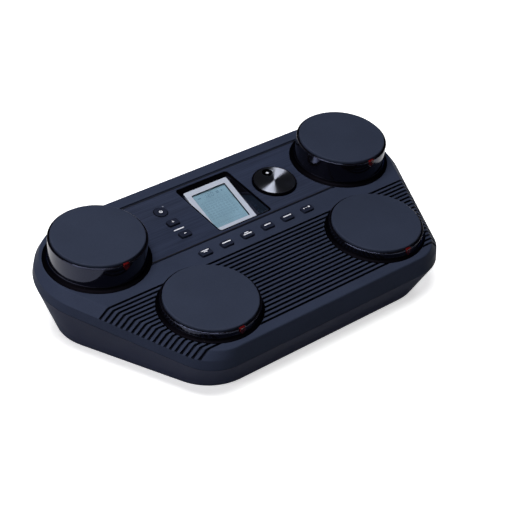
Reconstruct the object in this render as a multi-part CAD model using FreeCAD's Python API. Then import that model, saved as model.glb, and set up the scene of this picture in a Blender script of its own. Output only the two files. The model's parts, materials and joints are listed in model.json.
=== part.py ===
import FreeCAD, Part
import math
import os
from collections import namedtuple

# Electronic percussion pad: four struck pads round a control panel on a sloped deck.
# Millimetres. X to the right, Y to the back, Z up, with Z = 0 at the bottom of the feet.
# The deck has a frame of its own: u to the right, v up the slope, w square to the deck.

Outline = namedtuple("Outline", "half_back half_front back front r_back r_front")
Pad = namedtuple("Pad", "u v top flare")
V = FreeCAD.Vector
UP = V(0, 0, 1)
TOUCH = 0.001

# How far a cutter runs past what it cuts
CLEAN_CUT = 1.0

# Housing: a rounded trapezoid, wide at the back, in a top and a bottom cover.
# An outline's sizes are given in the order of Outline.
DECK_SLOPE = 6.0
DECK_Y = -6.35
DECK_Z = 69.8
WALL = 2.5
DECK_THICK = 3.0
PARTING_SIZES = (263.0, 148.2, 129.0, -120.5, 76.3, 45.1)
PARTING_W = -20.0
CREASE_W = -9.5
CREASE_IN = (1.0, 1.5, 2.4)
DECK_IN = (9.8, 6.3, 4.8)
DECK_EDGE_ROUND = 1.8
PARTING_GAP = 0.5
LIP_RISE = 2.0
LIP_THICK = 1.1
LIP_GAP = 0.2
BASE_SIZES = (231.9, 137.1, 100.0, -109.65, 54.0, 51.6)
FOOT_PROUD = 2.5
BASE_EDGE_CUT = 1.2
PARTING = Outline(*PARTING_SIZES)
BASE = Outline(*BASE_SIZES)

# Deck grooves, which run across the deck and bend down over its flanks
GROOVE_COUNT = 19
GROOVE_FIRST_V = -9.0
GROOVE_PITCH = 5.25
GROOVE_WIDTH = 2.6
GROOVE_DEPTH = 2.6
GROOVE_FLOOR = 1.7
GROOVE_BACK_MARGIN = 7.2
GROOVE_FRONT_MARGIN = 2.5
GROOVE_FOOT_DROP = 5.0

# Pads
BACK_PAD_U = 156.9
FRONT_PAD_U = 106.2
PAD_V = 57.65
BACK_PAD_TOP = 29.0
FRONT_PAD_TOP = 12.0
PAD_R = 46.2
PAD_EDGE_ROUND = 1.2
SKIN_THICK = 2.8
SKIRT_THICK = 2.0
SKIRT_DROP = 6.0
SKIRT_GAP = 0.7
RIM_DROP = 2.4
RIM_ROUND = 0.7
HOUSING_WALL = 1.7
PLATE_GAP = 0.2
PLATE_THICK = 1.4
PIEZO_R = 13.5
PIEZO_CERAMIC_R = 9.45
PIEZO_THICK = 0.5
PAD_TRAVEL_ROOM = 0.6
FOAM_WIDTH = 8.0
FOAM_THICK = 4.2
LEDGE_WIDTH = 15.6
LEDGE_THICK = 2.0
BACK_FLARE = 4.8
FRONT_FLARE = 3.3
FLARE_RISE = 4.5
FLARE_LIP = 0.4
SEAT_DEPTH = 1.8
SEAT_GAP = 0.3
SEAT_REACH = 2.4
SEAT_THICK = 2.5
FLANGE_MARGIN = 0.3
PAD_HOLE_GAP = 0.5
PAD_BOSS_R = 3.2
PAD_BOSS_INSET = 5.7
PAD_BOSS_COUNT = 4

# Hit lamps, shield-shaped windows in the front of each pad's rim
LAMP_WIDTH = 6.5
LAMP_SHOULDER = 3.8
LAMP_HEIGHT = 8.2
LAMP_DROP = 1.6
LAMP_PROUD = 0.8
LAMP_GAP = 0.15
LAMP_ROUNDS = (1.4, 1.4, 2.0, 1.0, 2.0)

# Control panel inlay, between two open grooves and the back pads' rings
PANEL_BACK = 107.6
PANEL_FRONT = 21.1
PANEL_THICK = 1.2
PANEL_GROOVE = 2.0
PANEL_RING_GAP = 0.6

# Display well, with its frame, window and module in a plane that is tilted more
WELL_LEFT = -30.5
WELL_RIGHT = 37.5
WELL_BACK = 103.5
WELL_FRONT = 25.0
WELL_ROUND = 4.0
WELL_RIM = 1.2
FIT_GAP = 0.2
DISPLAY_U = 3.65
DISPLAY_V = 68.05
DISPLAY_W = -9.0
DISPLAY_TILT = 14.8
FRAME_WIDTH = 56.1
FRAME_DEPTH = 58.8
FRAME_THICK = 2.0
FRAME_ROUND = 1.5
WINDOW_WIDTH = 43.5
WINDOW_DEPTH = 47.0
WINDOW_SHIFT = -0.3
WINDOW_ROUND = 0.8
LENS_THICK = 1.0
SURROUND_WALL = 1.5
SURROUND_LEDGE = 3.0
SURROUND_FLOOR = 1.5
MODULE_THICK = 4.5
MODULE_MARGIN = 3.4

# Data dial on a rotary encoder
DIAL_U = 68.5
DIAL_V = 60.2
DIAL_R = 23.8
DIAL_TOP = 3.0
DIAL_GAP = 0.3
DIAL_RING_GAP = 0.6
DIAL_SINK = 0.8
DIAL_ROUND = 0.8
CAP_R = 22.4
CAP_THICK = 1.2
DIMPLE_REACH = 14.6
DIMPLE_AZIMUTH = 81.8
DIMPLE_BALL = 24.0
DIMPLE_DEPTH = 0.8
HUB_R = 5.0
HUB_GAP = 0.6
HUB_DROP = 2.6
SHAFT_R = 3.0
SHAFT_TOP = 1.5
SHAFT_BOTTOM = -6.7
SHAFT_PRESS_GAP = 0.02
SHAFT_RUN_GAP = 0.05
ENCODER_WIDTH = 12.5
ENCODER_DEPTH = 13.5

# Buttons: one round power button, two value buttons and a row of six
BUTTON_GAP = 0.4
BUTTON_PROUD = 2.4
BUTTON_ROUND = 0.8
BUTTON_CORNER = 2.0
FLANGE_REACH = 1.2
FLANGE_THICK = 1.2
BUTTON_SEAT_GAP = 0.3
STEM_R = 1.8
STEM_DROP = 0.4
POWER_R = 7.0
POWER_V = 82.0
POWER_PROUD = 0.8
POWER_GAP = 0.9
VALUE_U = -63.4
VALUE_V = (61.0, 40.0)
VALUE_SIZE = (13.0, 8.5)
ROW_FIRST_U = -63.25
ROW_PITCH = 26.3
ROW_COUNT = 6
ROW_V = 6.0
ROW_SIZE = (13.5, 8.5)
SWITCH_WIDTH = 6.0
SWITCH_TOP_GAP = 0.8
SWITCH_BUTTON_R = 1.7
SWITCH_BUTTON_RISE = 0.5

# Control board under the deck, cut out round the display well
BOARD_THICK = 1.6
CONTROL_BOARD_TOP = -9.2
CONTROL_BOARD = (-85.0, 95.0, -5.0, 110.0)
CONTROL_CUT_GAP = 1.5
BOARD_BOSS_R = 3.0
BOARD_BOSS_INSET = 5.0
BOARD_SCREW_R = 1.2
BOARD_SCREW_LENGTH = 6.0
SCREW_GAP = 0.1
SCREW_HEAD_R = 2.5
SCREW_HEAD_THICK = 1.8

# Case screws, in tubes that stand between the floor and the deck
CASE_SCREW_PLACES = ((30.0, -95.0), (168.0, -10.0), (100.0, 88.0))
CASE_SPLIT_Z = 30.0
CASE_TUBE_R = 6.0
CASE_BOSS_R = 4.5
CASE_WELL_R = 4.2
CASE_SHELF = 4.0
CASE_HEAD_R = 3.8
CASE_HEAD_THICK = 2.6
CASE_SHANK_R = 1.6
CASE_SCREW_REACH = 10.0
PAD_SCREW_R = 1.5
PAD_SCREW_HEAD_R = 2.8
PAD_SCREW_HEAD_THICK = 2.0
PAD_SCREW_REACH = 3.0

# Feet
FOOT_R = 9.0
FOOT_SINK = 1.0
FOOT_GAP = 0.2
FOOT_ROUND = 0.6
FOOT_PLACES = ((108.0, -84.0), (150.0, 74.0))

# Loudspeakers, which face down through slots in the floor
SPEAKER_Y = -20.0
SPEAKER_GAP = 0.5
SPEAKER_R = 36.0
SPEAKER_OPEN_R = 29.0
SPEAKER_FLANGE = 1.6
BASKET_TOP_R = 16.0
BASKET_HEIGHT = 14.0
BASKET_SKIN = 1.2
MAGNET_R = 18.0
MAGNET_HEIGHT = 9.0
CONE_R = 28.6
CONE_THROAT_R = 9.0
CONE_HEIGHT = 9.0
CONE_THICK = 0.8
SLOT_WIDTH = 3.0
SLOT_PITCH = 6.5
SLOT_COUNT = 7
SLOT_FIELD_R = 27.0
SLOT_ROUND = 1.35

# Battery bay for six cells, closed by a door in the floor
BAY_HALF_LENGTH = 79.0
BAY_HALF_WIDTH = 30.0
BAY_HEIGHT = 30.0
BAY_WALL = 2.0
BAY_TAB = 8.0
DOOR_HOLE_HALF_LENGTH = 77.0
DOOR_HOLE_HALF_WIDTH = 27.0
DOOR_GAP = 0.4
TAB_PLACES = (-48.0, 48.0)
TAB_LENGTH = 16.0
TAB_REACH = 2.7
TAB_ROOT = 4.6
TAB_THICK = 1.5
TAB_LIFT = 0.3
LATCH_HALF_WIDTH = 8.0
LATCH_SLOT = 1.2
LATCH_DEPTH = 13.0
LATCH_NOTCH = 2.8
RIB_THICK = 1.4
RIB_RISE = 1.0
CELL_PITCH = 26.6
CONTACT_SIZE = 13.0
CONTACT_THICK = 0.5
CONTACT_NUB_R = 3.2
CONTACT_NUB_RISE = 1.2
CONTACT_Z = 20.0

# Main board and jack board
MAIN_BOARD = (-90.0, 90.0, 36.0, 66.0)
MAIN_BOARD_Z = 11.0
JACK_BOARD = (-88.0, 88.0, 69.0, 101.0)
JACK_BOARD_Z = 22.0

# Socket recess in the back wall
RECESS_HALF = 75.0
RECESS_LOW = 20.0
RECESS_HIGH = 42.0
RECESS_WALL = 2.0
RECESS_FACE_Y = 104.0
RECESS_ROUND = 3.0
RECESS_FIT = 0.1
JACK_Z = 30.0
PEDAL_X = (-58.0, -34.0)
PEDAL_BORE_R = 3.2
PEDAL_DEPTH = 30.0
PEDAL_BODY = 14.0
PEDAL_COLLAR_R = 5.6
AUDIO_X = (-10.0, 8.0)
AUDIO_BORE_R = 1.8
AUDIO_DEPTH = 14.0
AUDIO_BODY = 8.0
AUDIO_COLLAR_R = 3.2
USB_X = 32.0
USB_WIDTH = 12.0
USB_HEIGHT = 11.0
USB_LENGTH = 16.0
USB_OPEN = 8.6
USB_TONGUE = (5.6, 3.2)
INLET_X = 58.0
INLET_BODY = 11.0
INLET_BORE_R = 2.9
INLET_DEPTH = 9.5
INLET_PIN_R = 1.0
SOCKET_PROUD = 0.3


# General helpers

def deck_frame():
    """The deck's frame in the part's frame."""
    return FreeCAD.Placement(V(0, DECK_Y, DECK_Z), FreeCAD.Rotation(V(1, 0, 0), DECK_SLOPE))


def display_frame():
    """The display's tilted frame in the deck's frame."""
    turn = FreeCAD.Rotation(V(1, 0, 0), DISPLAY_TILT)
    return FreeCAD.Placement(V(DISPLAY_U, DISPLAY_V, DISPLAY_W), turn)


def put(shape, placement):
    """The shape moved by a placement."""
    moved = shape.copy()
    moved.Placement = placement.multiply(moved.Placement)
    return moved


def on_deck(shape):
    return put(shape, deck_frame())


def to_deck(shape):
    return put(shape, deck_frame().inverse())


def shifted(shape, x, y, z=0.0):
    return put(shape, FreeCAD.Placement(V(x, y, z), FreeCAD.Rotation()))


def rounded_wire(points, radii):
    """A closed wire through the points, with each corner rounded by its own radius."""
    count = len(points)
    arcs = []
    for i in range(count):
        here = points[i]
        back = (points[i - 1] - here).normalize()
        ahead = (points[(i + 1) % count] - here).normalize()
        half = back.getAngle(ahead) / 2
        reach = radii[i] / math.tan(half)
        depth = radii[i] / math.sin(half) - radii[i]
        middle = here + (back + ahead).normalize() * depth
        arcs.append(Part.Arc(here + back * reach, middle, here + ahead * reach))
    edges = []
    for i in range(count):
        edges.append(arcs[i].toShape())
        following = arcs[(i + 1) % count]
        edges.append(Part.LineSegment(arcs[i].EndPoint, following.StartPoint).toShape())
    return Part.Wire(edges)


def rect_wire(low_x, high_x, low_y, high_y, radius, z=0.0):
    corners = [V(low_x, low_y, z), V(high_x, low_y, z), V(high_x, high_y, z), V(low_x, high_y, z)]
    return rounded_wire(corners, [radius] * 4)


def prism(wire, height, direction=UP):
    return Part.Face(wire).extrude(direction * height)


def box(low_x, high_x, low_y, high_y, low_z, high_z):
    return Part.makeBox(high_x - low_x, high_y - low_y, high_z - low_z, V(low_x, low_y, low_z))


def cylinder(radius, low, high, x=0.0, y=0.0):
    return Part.makeCylinder(radius, high - low, V(x, y, low))


def ring(inner, outer, low, high, x=0.0, y=0.0):
    bore = cylinder(inner, low - CLEAN_CUT, high + CLEAN_CUT, x, y)
    return cylinder(outer, low, high, x, y).cut(bore)


def board_hole(low, high, x, y):
    """A through hole for a board screw."""
    return cylinder(BOARD_SCREW_R + SCREW_GAP, low - CLEAN_CUT, high + CLEAN_CUT, x, y)


def revolve(points, arcs=None):
    """A solid turned about Z from (radius, height) points; arcs maps an edge to its middle."""
    arcs = arcs or {}
    edges = []
    for i, start in enumerate(points):
        end = points[(i + 1) % len(points)]
        first = V(start[0], 0, start[1])
        last = V(end[0], 0, end[1])
        if i in arcs:
            middle = V(arcs[i][0], 0, arcs[i][1])
            edges.append(Part.Arc(first, middle, last).toShape())
        else:
            edges.append(Part.LineSegment(first, last).toShape())
    return Part.Face(Part.Wire(edges)).revolve(V(0, 0, 0), UP, 360)


def round_turn(radius):
    """How far the middle of a quarter round lies in from its corner's two sides."""
    return radius * (1 - math.sqrt(0.5))


def fused(shapes):
    whole = shapes[0]
    if len(shapes) > 1:
        whole = whole.multiFuse(shapes[1:])
    return whole.removeSplitter()


def mirrored(places):
    """Each place and its mirror image across the middle."""
    return [(side * x, y) for x, y in places for side in (-1, 1)]


def circle_places(radius, count, x=0.0, y=0.0):
    turn = 2 * math.pi / count
    angles = [turn * (i + 0.5) for i in range(count)]
    return [(x + radius * math.cos(a), y + radius * math.sin(a)) for a in angles]


def screw(head_r, head_thick, shank_r, length):
    """A pan-head screw that points up, with the seat of its head at Z = 0."""
    head = cylinder(head_r, -head_thick, 0)
    edge = [e for e in head.Edges if abs(e.BoundBox.ZMax + head_thick) < TOUCH and e.Closed]
    head = head.makeFillet(head_thick / 3, edge)
    return head.fuse(cylinder(shank_r, 0, length))


# Housing outlines

def flank_slope(outline):
    return (outline.half_back - outline.half_front) / (outline.back - outline.front)


def shrink(outline, side, back, front):
    """The outline moved inward: its flanks by side, its ends by back and front."""
    slope = flank_slope(outline)
    new_back = outline.back - back
    new_front = outline.front + front
    flank = outline.half_front - side * math.hypot(1, slope)
    return Outline(flank + slope * (new_back - outline.front),
                   flank + slope * (new_front - outline.front),
                   new_back, new_front, outline.r_back - side, outline.r_front - side)


def between(first, second, share):
    return Outline(*(a + (b - a) * share for a, b in zip(first, second)))


def outline_wire(outline, z=0.0):
    corners = [V(-outline.half_front, outline.front, z), V(outline.half_front, outline.front, z),
               V(outline.half_back, outline.back, z), V(-outline.half_back, outline.back, z)]
    return rounded_wire(corners, [outline.r_front, outline.r_front, outline.r_back, outline.r_back])


def cover_outline(w, inset=0.0):
    """The top cover's outer outline at level w, moved inward by inset."""
    crease = shrink(PARTING, *CREASE_IN)
    if w > CREASE_W:
        level = between(shrink(PARTING, *DECK_IN), crease, w / CREASE_W)
    else:
        level = between(crease, PARTING, (w - CREASE_W) / (PARTING_W - CREASE_W))
    return shrink(level, inset, inset, inset)


def half_width(outline, v):
    """Half the width of an outline at v, in its straight flanks or its front corners."""
    slope = flank_slope(outline)
    lean = math.atan(slope)
    reach = outline.r_front / math.tan((math.pi / 2 + lean) / 2)
    centre_u = outline.half_front - reach
    centre_v = outline.front + outline.r_front
    flat_v = outline.front + reach * math.cos(lean)
    if v > flat_v:
        return outline.half_front + slope * (v - outline.front)
    return centre_u + math.sqrt(outline.r_front ** 2 - (v - centre_v) ** 2)


def cover_ring(low, high, outer, inner):
    """A ring that follows the top cover's wall between two insets."""
    solids = []
    for inset, more in ((outer, 0.0), (inner, CLEAN_CUT)):
        levels = (low - more, high + more)
        wires = [outline_wire(cover_outline(w, inset), w) for w in levels]
        solids.append(Part.makeLoft(wires, True, True))
    return solids[0].cut(solids[1])


# Pad places

def pad_places():
    return {
        "front_left": Pad(-FRONT_PAD_U, -PAD_V, FRONT_PAD_TOP, FRONT_FLARE),
        "front_right": Pad(FRONT_PAD_U, -PAD_V, FRONT_PAD_TOP, FRONT_FLARE),
        "back_left": Pad(-BACK_PAD_U, PAD_V, BACK_PAD_TOP, BACK_FLARE),
        "back_right": Pad(BACK_PAD_U, PAD_V, BACK_PAD_TOP, BACK_FLARE),
    }


def housing_bore_r():
    return PAD_R + SKIRT_GAP


def housing_r():
    return housing_bore_r() + HOUSING_WALL


def flare_r(pad):
    return housing_r() + pad.flare


def pad_boss_pitch_r():
    return PAD_R - PAD_BOSS_INSET


def flange_bore_r():
    return pad_boss_pitch_r() - PAD_BOSS_R - FLANGE_MARGIN


def seat_r(pad):
    return flare_r(pad) + SEAT_GAP


def seat_ring_r(pad):
    return flare_r(pad) + SEAT_REACH


def pad_hole_r():
    return flange_bore_r() - PAD_HOLE_GAP


def seat_floor_w():
    return -SEAT_DEPTH - SEAT_THICK


# Top cover

def cover_block():
    """The top cover's outer form, with a rounded edge round the deck."""
    low = PARTING_W + PARTING_GAP / 2
    wires = [outline_wire(cover_outline(w), w) for w in (low, CREASE_W, 0.0)]
    block = Part.makeLoft(wires, True, True)
    edges = [e for e in block.Edges if e.BoundBox.ZMin > -TOUCH]
    return block.makeFillet(DECK_EDGE_ROUND, edges)


def flank_slant():
    """How much longer a level cut through the deck's flank is than the flank's thickness."""
    return math.hypot(DECK_IN[0] - CREASE_IN[0], CREASE_W) / abs(CREASE_W)


def under_crease_w():
    return CREASE_W - WALL / 2


def plain_hollow():
    """The space under the deck, inside the top cover's walls, with no grooves."""
    roof = shrink(cover_outline(-DECK_THICK), WALL * flank_slant(), WALL, WALL)
    levels = [(PARTING_W - CLEAN_CUT, cover_outline(PARTING_W - CLEAN_CUT, WALL)),
              (under_crease_w(), cover_outline(under_crease_w(), WALL)),
              (-DECK_THICK, roof)]
    return Part.makeLoft([outline_wire(outline, w) for w, outline in levels], True, True)


def grooved_thick():
    return GROOVE_DEPTH + GROOVE_FLOOR


def grooved_range():
    """The stretch of the deck, front to back, that is thicker for its grooves."""
    last = GROOVE_FIRST_V - (GROOVE_COUNT - 1) * GROOVE_PITCH
    return (last - GROOVE_WIDTH / 2 - GROOVE_FRONT_MARGIN,
            GROOVE_FIRST_V + GROOVE_WIDTH / 2 + GROOVE_BACK_MARGIN)


def grooved_hollow():
    """The space under the thicker stretch, which leaves the wall well below the crease."""
    thick = grooved_thick()
    side = thick * flank_slant()
    foot_w = CREASE_W - GROOVE_FOOT_DROP
    levels = [(foot_w, cover_outline(foot_w, WALL - CLEAN_CUT)),
              (under_crease_w(), shrink(cover_outline(under_crease_w()), side, WALL, WALL)),
              (-thick, shrink(cover_outline(-thick), side, WALL, WALL))]
    return Part.makeLoft([outline_wire(outline, w) for w, outline in levels], True, True)


def groove_backing():
    """The extra thickness under the grooves, left out over the front pads' seat rings."""
    low, high = grooved_range()
    block = box(-PARTING.half_back, PARTING.half_back, low, high, CREASE_W - GROOVE_FOOT_DROP, 0)
    spaces = [grooved_hollow()]
    for pad in pad_places().values():
        spaces.append(cylinder(seat_ring_r(pad), PARTING_W, 0, pad.u, pad.v))
    return block.cut(spaces)


def deck_core_w(v):
    """The middle of the deck's uncut thickness at v."""
    low, high = grooved_range()
    if low < v < high:
        return -GROOVE_DEPTH - GROOVE_FLOOR / 2
    return -(PANEL_THICK + DECK_THICK) / 2


def groove_cutter(v):
    """One groove's cutter, flat across the deck and bent down over both flanks."""
    edge = half_width(cover_outline(0.0), v)
    crease = half_width(cover_outline(CREASE_W), v)
    inward = GROOVE_DEPTH * flank_slant()
    bend = edge - inward + (crease - edge) * GROOVE_DEPTH / abs(CREASE_W)
    half = [(bend, -GROOVE_DEPTH), (crease - inward, CREASE_W),
            (crease + WALL, CREASE_W), (crease + WALL, DECK_THICK)]
    loop = half + [(-u, w) for u, w in reversed(half)]
    points = [V(u, v - GROOVE_WIDTH / 2, w) for u, w in loop]
    return Part.Face(Part.makePolygon(points + points[:1])).extrude(V(0, GROOVE_WIDTH, 0))


def panel_slab(margin, ring_gap):
    """The control panel's slab, grown by margin at its ends and cut clear of the pads' rings."""
    shape = box(-BACK_PAD_U, BACK_PAD_U, PANEL_FRONT - margin, PANEL_BACK + margin, -PANEL_THICK, 0)
    for pad in pad_places().values():
        shape = shape.cut(cylinder(flare_r(pad) + ring_gap, -PANEL_THICK - CLEAN_CUT, CLEAN_CUT,
                                   pad.u, pad.v))
    return max(shape.Solids, key=lambda solid: solid.Volume)


def well_cutter(margin=0.0):
    wire = rect_wire(WELL_LEFT + margin, WELL_RIGHT - margin, WELL_FRONT + margin,
                     WELL_BACK - margin, WELL_ROUND, -DECK_THICK - CLEAN_CUT)
    return prism(wire, DECK_THICK + 2 * CLEAN_CUT)


def button_list():
    """Each button's name, centre and size; a size with one number is a round button."""
    buttons = [("power_button", VALUE_U, POWER_V, (POWER_R,))]
    buttons.append(("plus_button", VALUE_U, VALUE_V[0], VALUE_SIZE))
    buttons.append(("minus_button", VALUE_U, VALUE_V[1], VALUE_SIZE))
    for i in range(ROW_COUNT):
        name = "function_button_%d" % (i + 1)
        buttons.append((name, ROW_FIRST_U + i * ROW_PITCH, ROW_V, ROW_SIZE))
    return buttons


def key_prism(u, v, size, grow, low, high):
    """A button's plan, round or rounded, grown all round and raised from low to high."""
    if len(size) == 1:
        return cylinder(size[0] + grow, low, high, u, v)
    half_u = size[0] / 2 + grow
    half_v = size[1] / 2 + grow
    wire = rect_wire(u - half_u, u + half_u, v - half_v, v + half_v, BUTTON_CORNER + grow, low)
    return prism(wire, high - low)


def deck_cutters():
    """Everything that is cut through or into the deck."""
    cutters = [groove_cutter(GROOVE_FIRST_V - i * GROOVE_PITCH) for i in range(GROOVE_COUNT)]
    cutters.append(panel_slab(PANEL_GROOVE, PANEL_RING_GAP - FIT_GAP))
    cutters.append(well_cutter())
    cutters.append(cylinder(HUB_R + HUB_GAP, -DECK_THICK - CLEAN_CUT, CLEAN_CUT, DIAL_U, DIAL_V))
    for name, u, v, size in button_list():
        gap = POWER_GAP if len(size) == 1 else BUTTON_GAP
        cutters.append(key_prism(u, v, size, gap, -DECK_THICK - CLEAN_CUT, CLEAN_CUT))
    for pad in pad_places().values():
        cutters.append(cylinder(seat_r(pad), -SEAT_DEPTH, CLEAN_CUT, pad.u, pad.v))
        cutters.append(cylinder(pad_hole_r(), seat_floor_w() - CLEAN_CUT, CLEAN_CUT, pad.u, pad.v))
        for x, y in circle_places(pad_boss_pitch_r(), PAD_BOSS_COUNT, pad.u, pad.v):
            cutters.append(cylinder(PAD_SCREW_R + SCREW_GAP, seat_floor_w() - CLEAN_CUT, 0, x, y))
    return cutters


def control_boss_places():
    left, right, front, back = CONTROL_BOARD
    inset = BOARD_BOSS_INSET
    return [(u, v) for u in (left + inset, right - inset) for v in (front + inset, back - inset)]


def deck_supports():
    """Seat rings under the pads and bosses under the deck."""
    supports = []
    for pad in pad_places().values():
        supports.append(cylinder(seat_ring_r(pad), seat_floor_w(), -SEAT_DEPTH, pad.u, pad.v))
    for u, v in control_boss_places():
        boss = cylinder(BOARD_BOSS_R, CONTROL_BOARD_TOP, deck_core_w(v), u, v)
        supports.append(boss.cut(cylinder(BOARD_SCREW_R + SCREW_GAP, CONTROL_BOARD_TOP,
                                          -DECK_THICK - SCREW_GAP, u, v)))
    return supports


def deck_height(y, w):
    """The part's Z of the deck level w above the place y."""
    lean = math.radians(DECK_SLOPE)
    v = (y - DECK_Y + w * math.sin(lean)) / math.cos(lean)
    return DECK_Z + v * math.sin(lean) + w * math.cos(lean)


def case_bosses():
    """Upright bosses that hang from the deck to meet the floor's screw tubes."""
    bosses = []
    for x, y in mirrored(CASE_SCREW_PLACES):
        top = deck_height(y, deck_core_w(y - DECK_Y))
        boss = cylinder(CASE_BOSS_R, CASE_SPLIT_Z, top, x, y)
        pilot = cylinder(CASE_SHANK_R + SCREW_GAP, CASE_SPLIT_Z - CLEAN_CUT,
                         CASE_SPLIT_Z + CASE_SCREW_REACH + CLEAN_CUT, x, y)
        bosses.append(to_deck(boss.cut(pilot)))
    return bosses


def make_top_cover():
    shell = cover_block().cut(plain_hollow().cut(groove_backing()))
    shell = fused([shell] + deck_supports())
    rabbet = cover_ring(PARTING_W - CLEAN_CUT, PARTING_W + LIP_RISE + LIP_GAP,
                        WALL - LIP_THICK - LIP_GAP, WALL + CLEAN_CUT)
    shell = shell.cut(deck_cutters() + [rabbet])
    return on_deck(fused([shell] + case_bosses()))


# Bottom cover

def floor_z():
    return FOOT_PROUD + WALL


def base_outline_wire(inset, z):
    return outline_wire(shrink(BASE, inset, inset, inset), z)


def hull_block():
    """The bottom cover's outer form, from the level base to the sloped parting plane."""
    top_w = PARTING_W - PARTING_GAP / 2
    parting = on_deck(outline_wire(PARTING, top_w))
    wires = [base_outline_wire(BASE_EDGE_CUT, FOOT_PROUD),
             base_outline_wire(0.0, FOOT_PROUD + BASE_EDGE_CUT), parting]
    return Part.makeLoft(wires, True, True)


def hull_hollow():
    inner = shrink(PARTING, WALL, WALL, WALL)
    wires = [on_deck(outline_wire(inner, w))
             for w in (PARTING_W - PARTING_GAP / 2, PARTING_W + CLEAN_CUT)]
    return Part.makeLoft([base_outline_wire(WALL, floor_z())] + wires, True, True)


def speaker_places():
    """Both loudspeakers' places, one at each end of the battery bay."""
    x = BAY_HALF_LENGTH + BAY_WALL + BAY_TAB + SPEAKER_GAP + SPEAKER_R
    return mirrored([(x, SPEAKER_Y)])


def speaker_slots():
    """Rows of slots under both loudspeakers."""
    slots = []
    for x, y in speaker_places():
        for i in range(SLOT_COUNT):
            offset = (i - (SLOT_COUNT - 1) / 2) * SLOT_PITCH
            half = math.sqrt(SLOT_FIELD_R ** 2 - offset ** 2)
            wire = rect_wire(x - half, x + half, y + offset - SLOT_WIDTH / 2,
                             y + offset + SLOT_WIDTH / 2, SLOT_ROUND, FOOT_PROUD - CLEAN_CUT)
            slots.append(prism(wire, WALL + 2 * CLEAN_CUT))
    return slots


def door_hole():
    """The battery door's hole, with the notch where a finger reaches the latch."""
    low = FOOT_PROUD - CLEAN_CUT
    high = floor_z() + CLEAN_CUT
    hole = box(-DOOR_HOLE_HALF_LENGTH, DOOR_HOLE_HALF_LENGTH,
               -DOOR_HOLE_HALF_WIDTH, DOOR_HOLE_HALF_WIDTH, low, high)
    notch = box(-LATCH_HALF_WIDTH - LATCH_SLOT, LATCH_HALF_WIDTH + LATCH_SLOT,
                0, DOOR_HOLE_HALF_WIDTH + LATCH_NOTCH, low, high)
    return hole.fuse(notch)


def board_boss_places(board):
    left, right, front, back = board
    inset = BOARD_BOSS_INSET
    return [(x, y) for x in (left + inset, right - inset) for y in (front + inset, back - inset)]


def floor_bosses():
    """Screw tubes for the case and bosses for the two lower boards."""
    bosses = []
    for x, y in mirrored(CASE_SCREW_PLACES):
        bosses.append(cylinder(CASE_TUBE_R, floor_z(), CASE_SPLIT_Z, x, y))
    for board, z in ((MAIN_BOARD, MAIN_BOARD_Z), (JACK_BOARD, JACK_BOARD_Z)):
        for x, y in board_boss_places(board):
            boss = cylinder(BOARD_BOSS_R, floor_z(), z, x, y)
            drill = cylinder(BOARD_SCREW_R + SCREW_GAP, z - BOARD_SCREW_LENGTH, z, x, y)
            bosses.append(boss.cut(drill))
    return bosses


def recess_block(grow):
    """The socket recess's block, which runs out past the back wall."""
    wall = RECESS_WALL + grow
    wire = rect_wire(-RECESS_HALF - wall, RECESS_HALF + wall, RECESS_LOW - wall,
                     RECESS_HIGH + wall, RECESS_ROUND + wall)
    return prism(put(wire, facing_back(RECESS_FACE_Y - RECESS_WALL)), BASE.back, V(0, 1, 0))


def facing_back(y):
    """A frame whose plan is seen from the front, upright at y."""
    return FreeCAD.Placement(V(0, y, 0), FreeCAD.Rotation(V(1, 0, 0), 90))


def floor_cutters():
    """Everything that is cut through or into the bottom cover's floor and back."""
    low = FOOT_PROUD - CLEAN_CUT
    shelf = CASE_SPLIT_Z - CASE_SHELF
    cutters = speaker_slots() + [door_hole(), recess_block(FIT_GAP)]
    for x, y in mirrored(FOOT_PLACES):
        cutters.append(cylinder(FOOT_R + FOOT_GAP, low, FOOT_PROUD + FOOT_SINK, x, y))
    for x, y in mirrored(CASE_SCREW_PLACES):
        cutters.append(cylinder(CASE_WELL_R, low, shelf, x, y))
        cutters.append(cylinder(CASE_SHANK_R + SCREW_GAP, shelf - CLEAN_CUT,
                                CASE_SPLIT_Z + CLEAN_CUT, x, y))
    for x, y in bay_screw_places():
        cutters.append(cylinder(BOARD_SCREW_R + SCREW_GAP, floor_z() - WALL / 2,
                                floor_z() + CLEAN_CUT, x, y))
    return cutters


def make_bottom_cover():
    shell = hull_block().cut(hull_hollow())
    lip = cover_ring(PARTING_W - PARTING_GAP, PARTING_W + LIP_RISE, WALL - LIP_THICK, WALL)
    shell = fused([shell, on_deck(lip)] + floor_bosses())
    return shell.cut(floor_cutters())


# Panel and display

def make_control_panel():
    panel = panel_slab(0.0, PANEL_RING_GAP)
    panel = panel.cut(well_cutter())
    panel = panel.cut(cylinder(DIAL_R + DIAL_RING_GAP, -DIAL_SINK, CLEAN_CUT, DIAL_U, DIAL_V))
    panel = panel.cut(cylinder(HUB_R + HUB_GAP, -DECK_THICK, CLEAN_CUT, DIAL_U, DIAL_V))
    for name, u, v, size in button_list():
        gap = POWER_GAP if len(size) == 1 else BUTTON_GAP
        panel = panel.cut(key_prism(u, v, size, gap, -DECK_THICK, CLEAN_CUT))
    return on_deck(panel)


def display_rect(margin, w, radius):
    """The display frame's plan, grown by margin, at the display level w."""
    half_u = FRAME_WIDTH / 2 + margin
    half_v = FRAME_DEPTH / 2 + margin
    return rect_wire(-half_u, half_u, -half_v, half_v, radius, w)


def display_slab(margin, low, high, radius=FRAME_ROUND):
    return prism(display_rect(margin, low, radius), high - low)


def display_floor_w():
    return -FRAME_THICK - LENS_THICK


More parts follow.
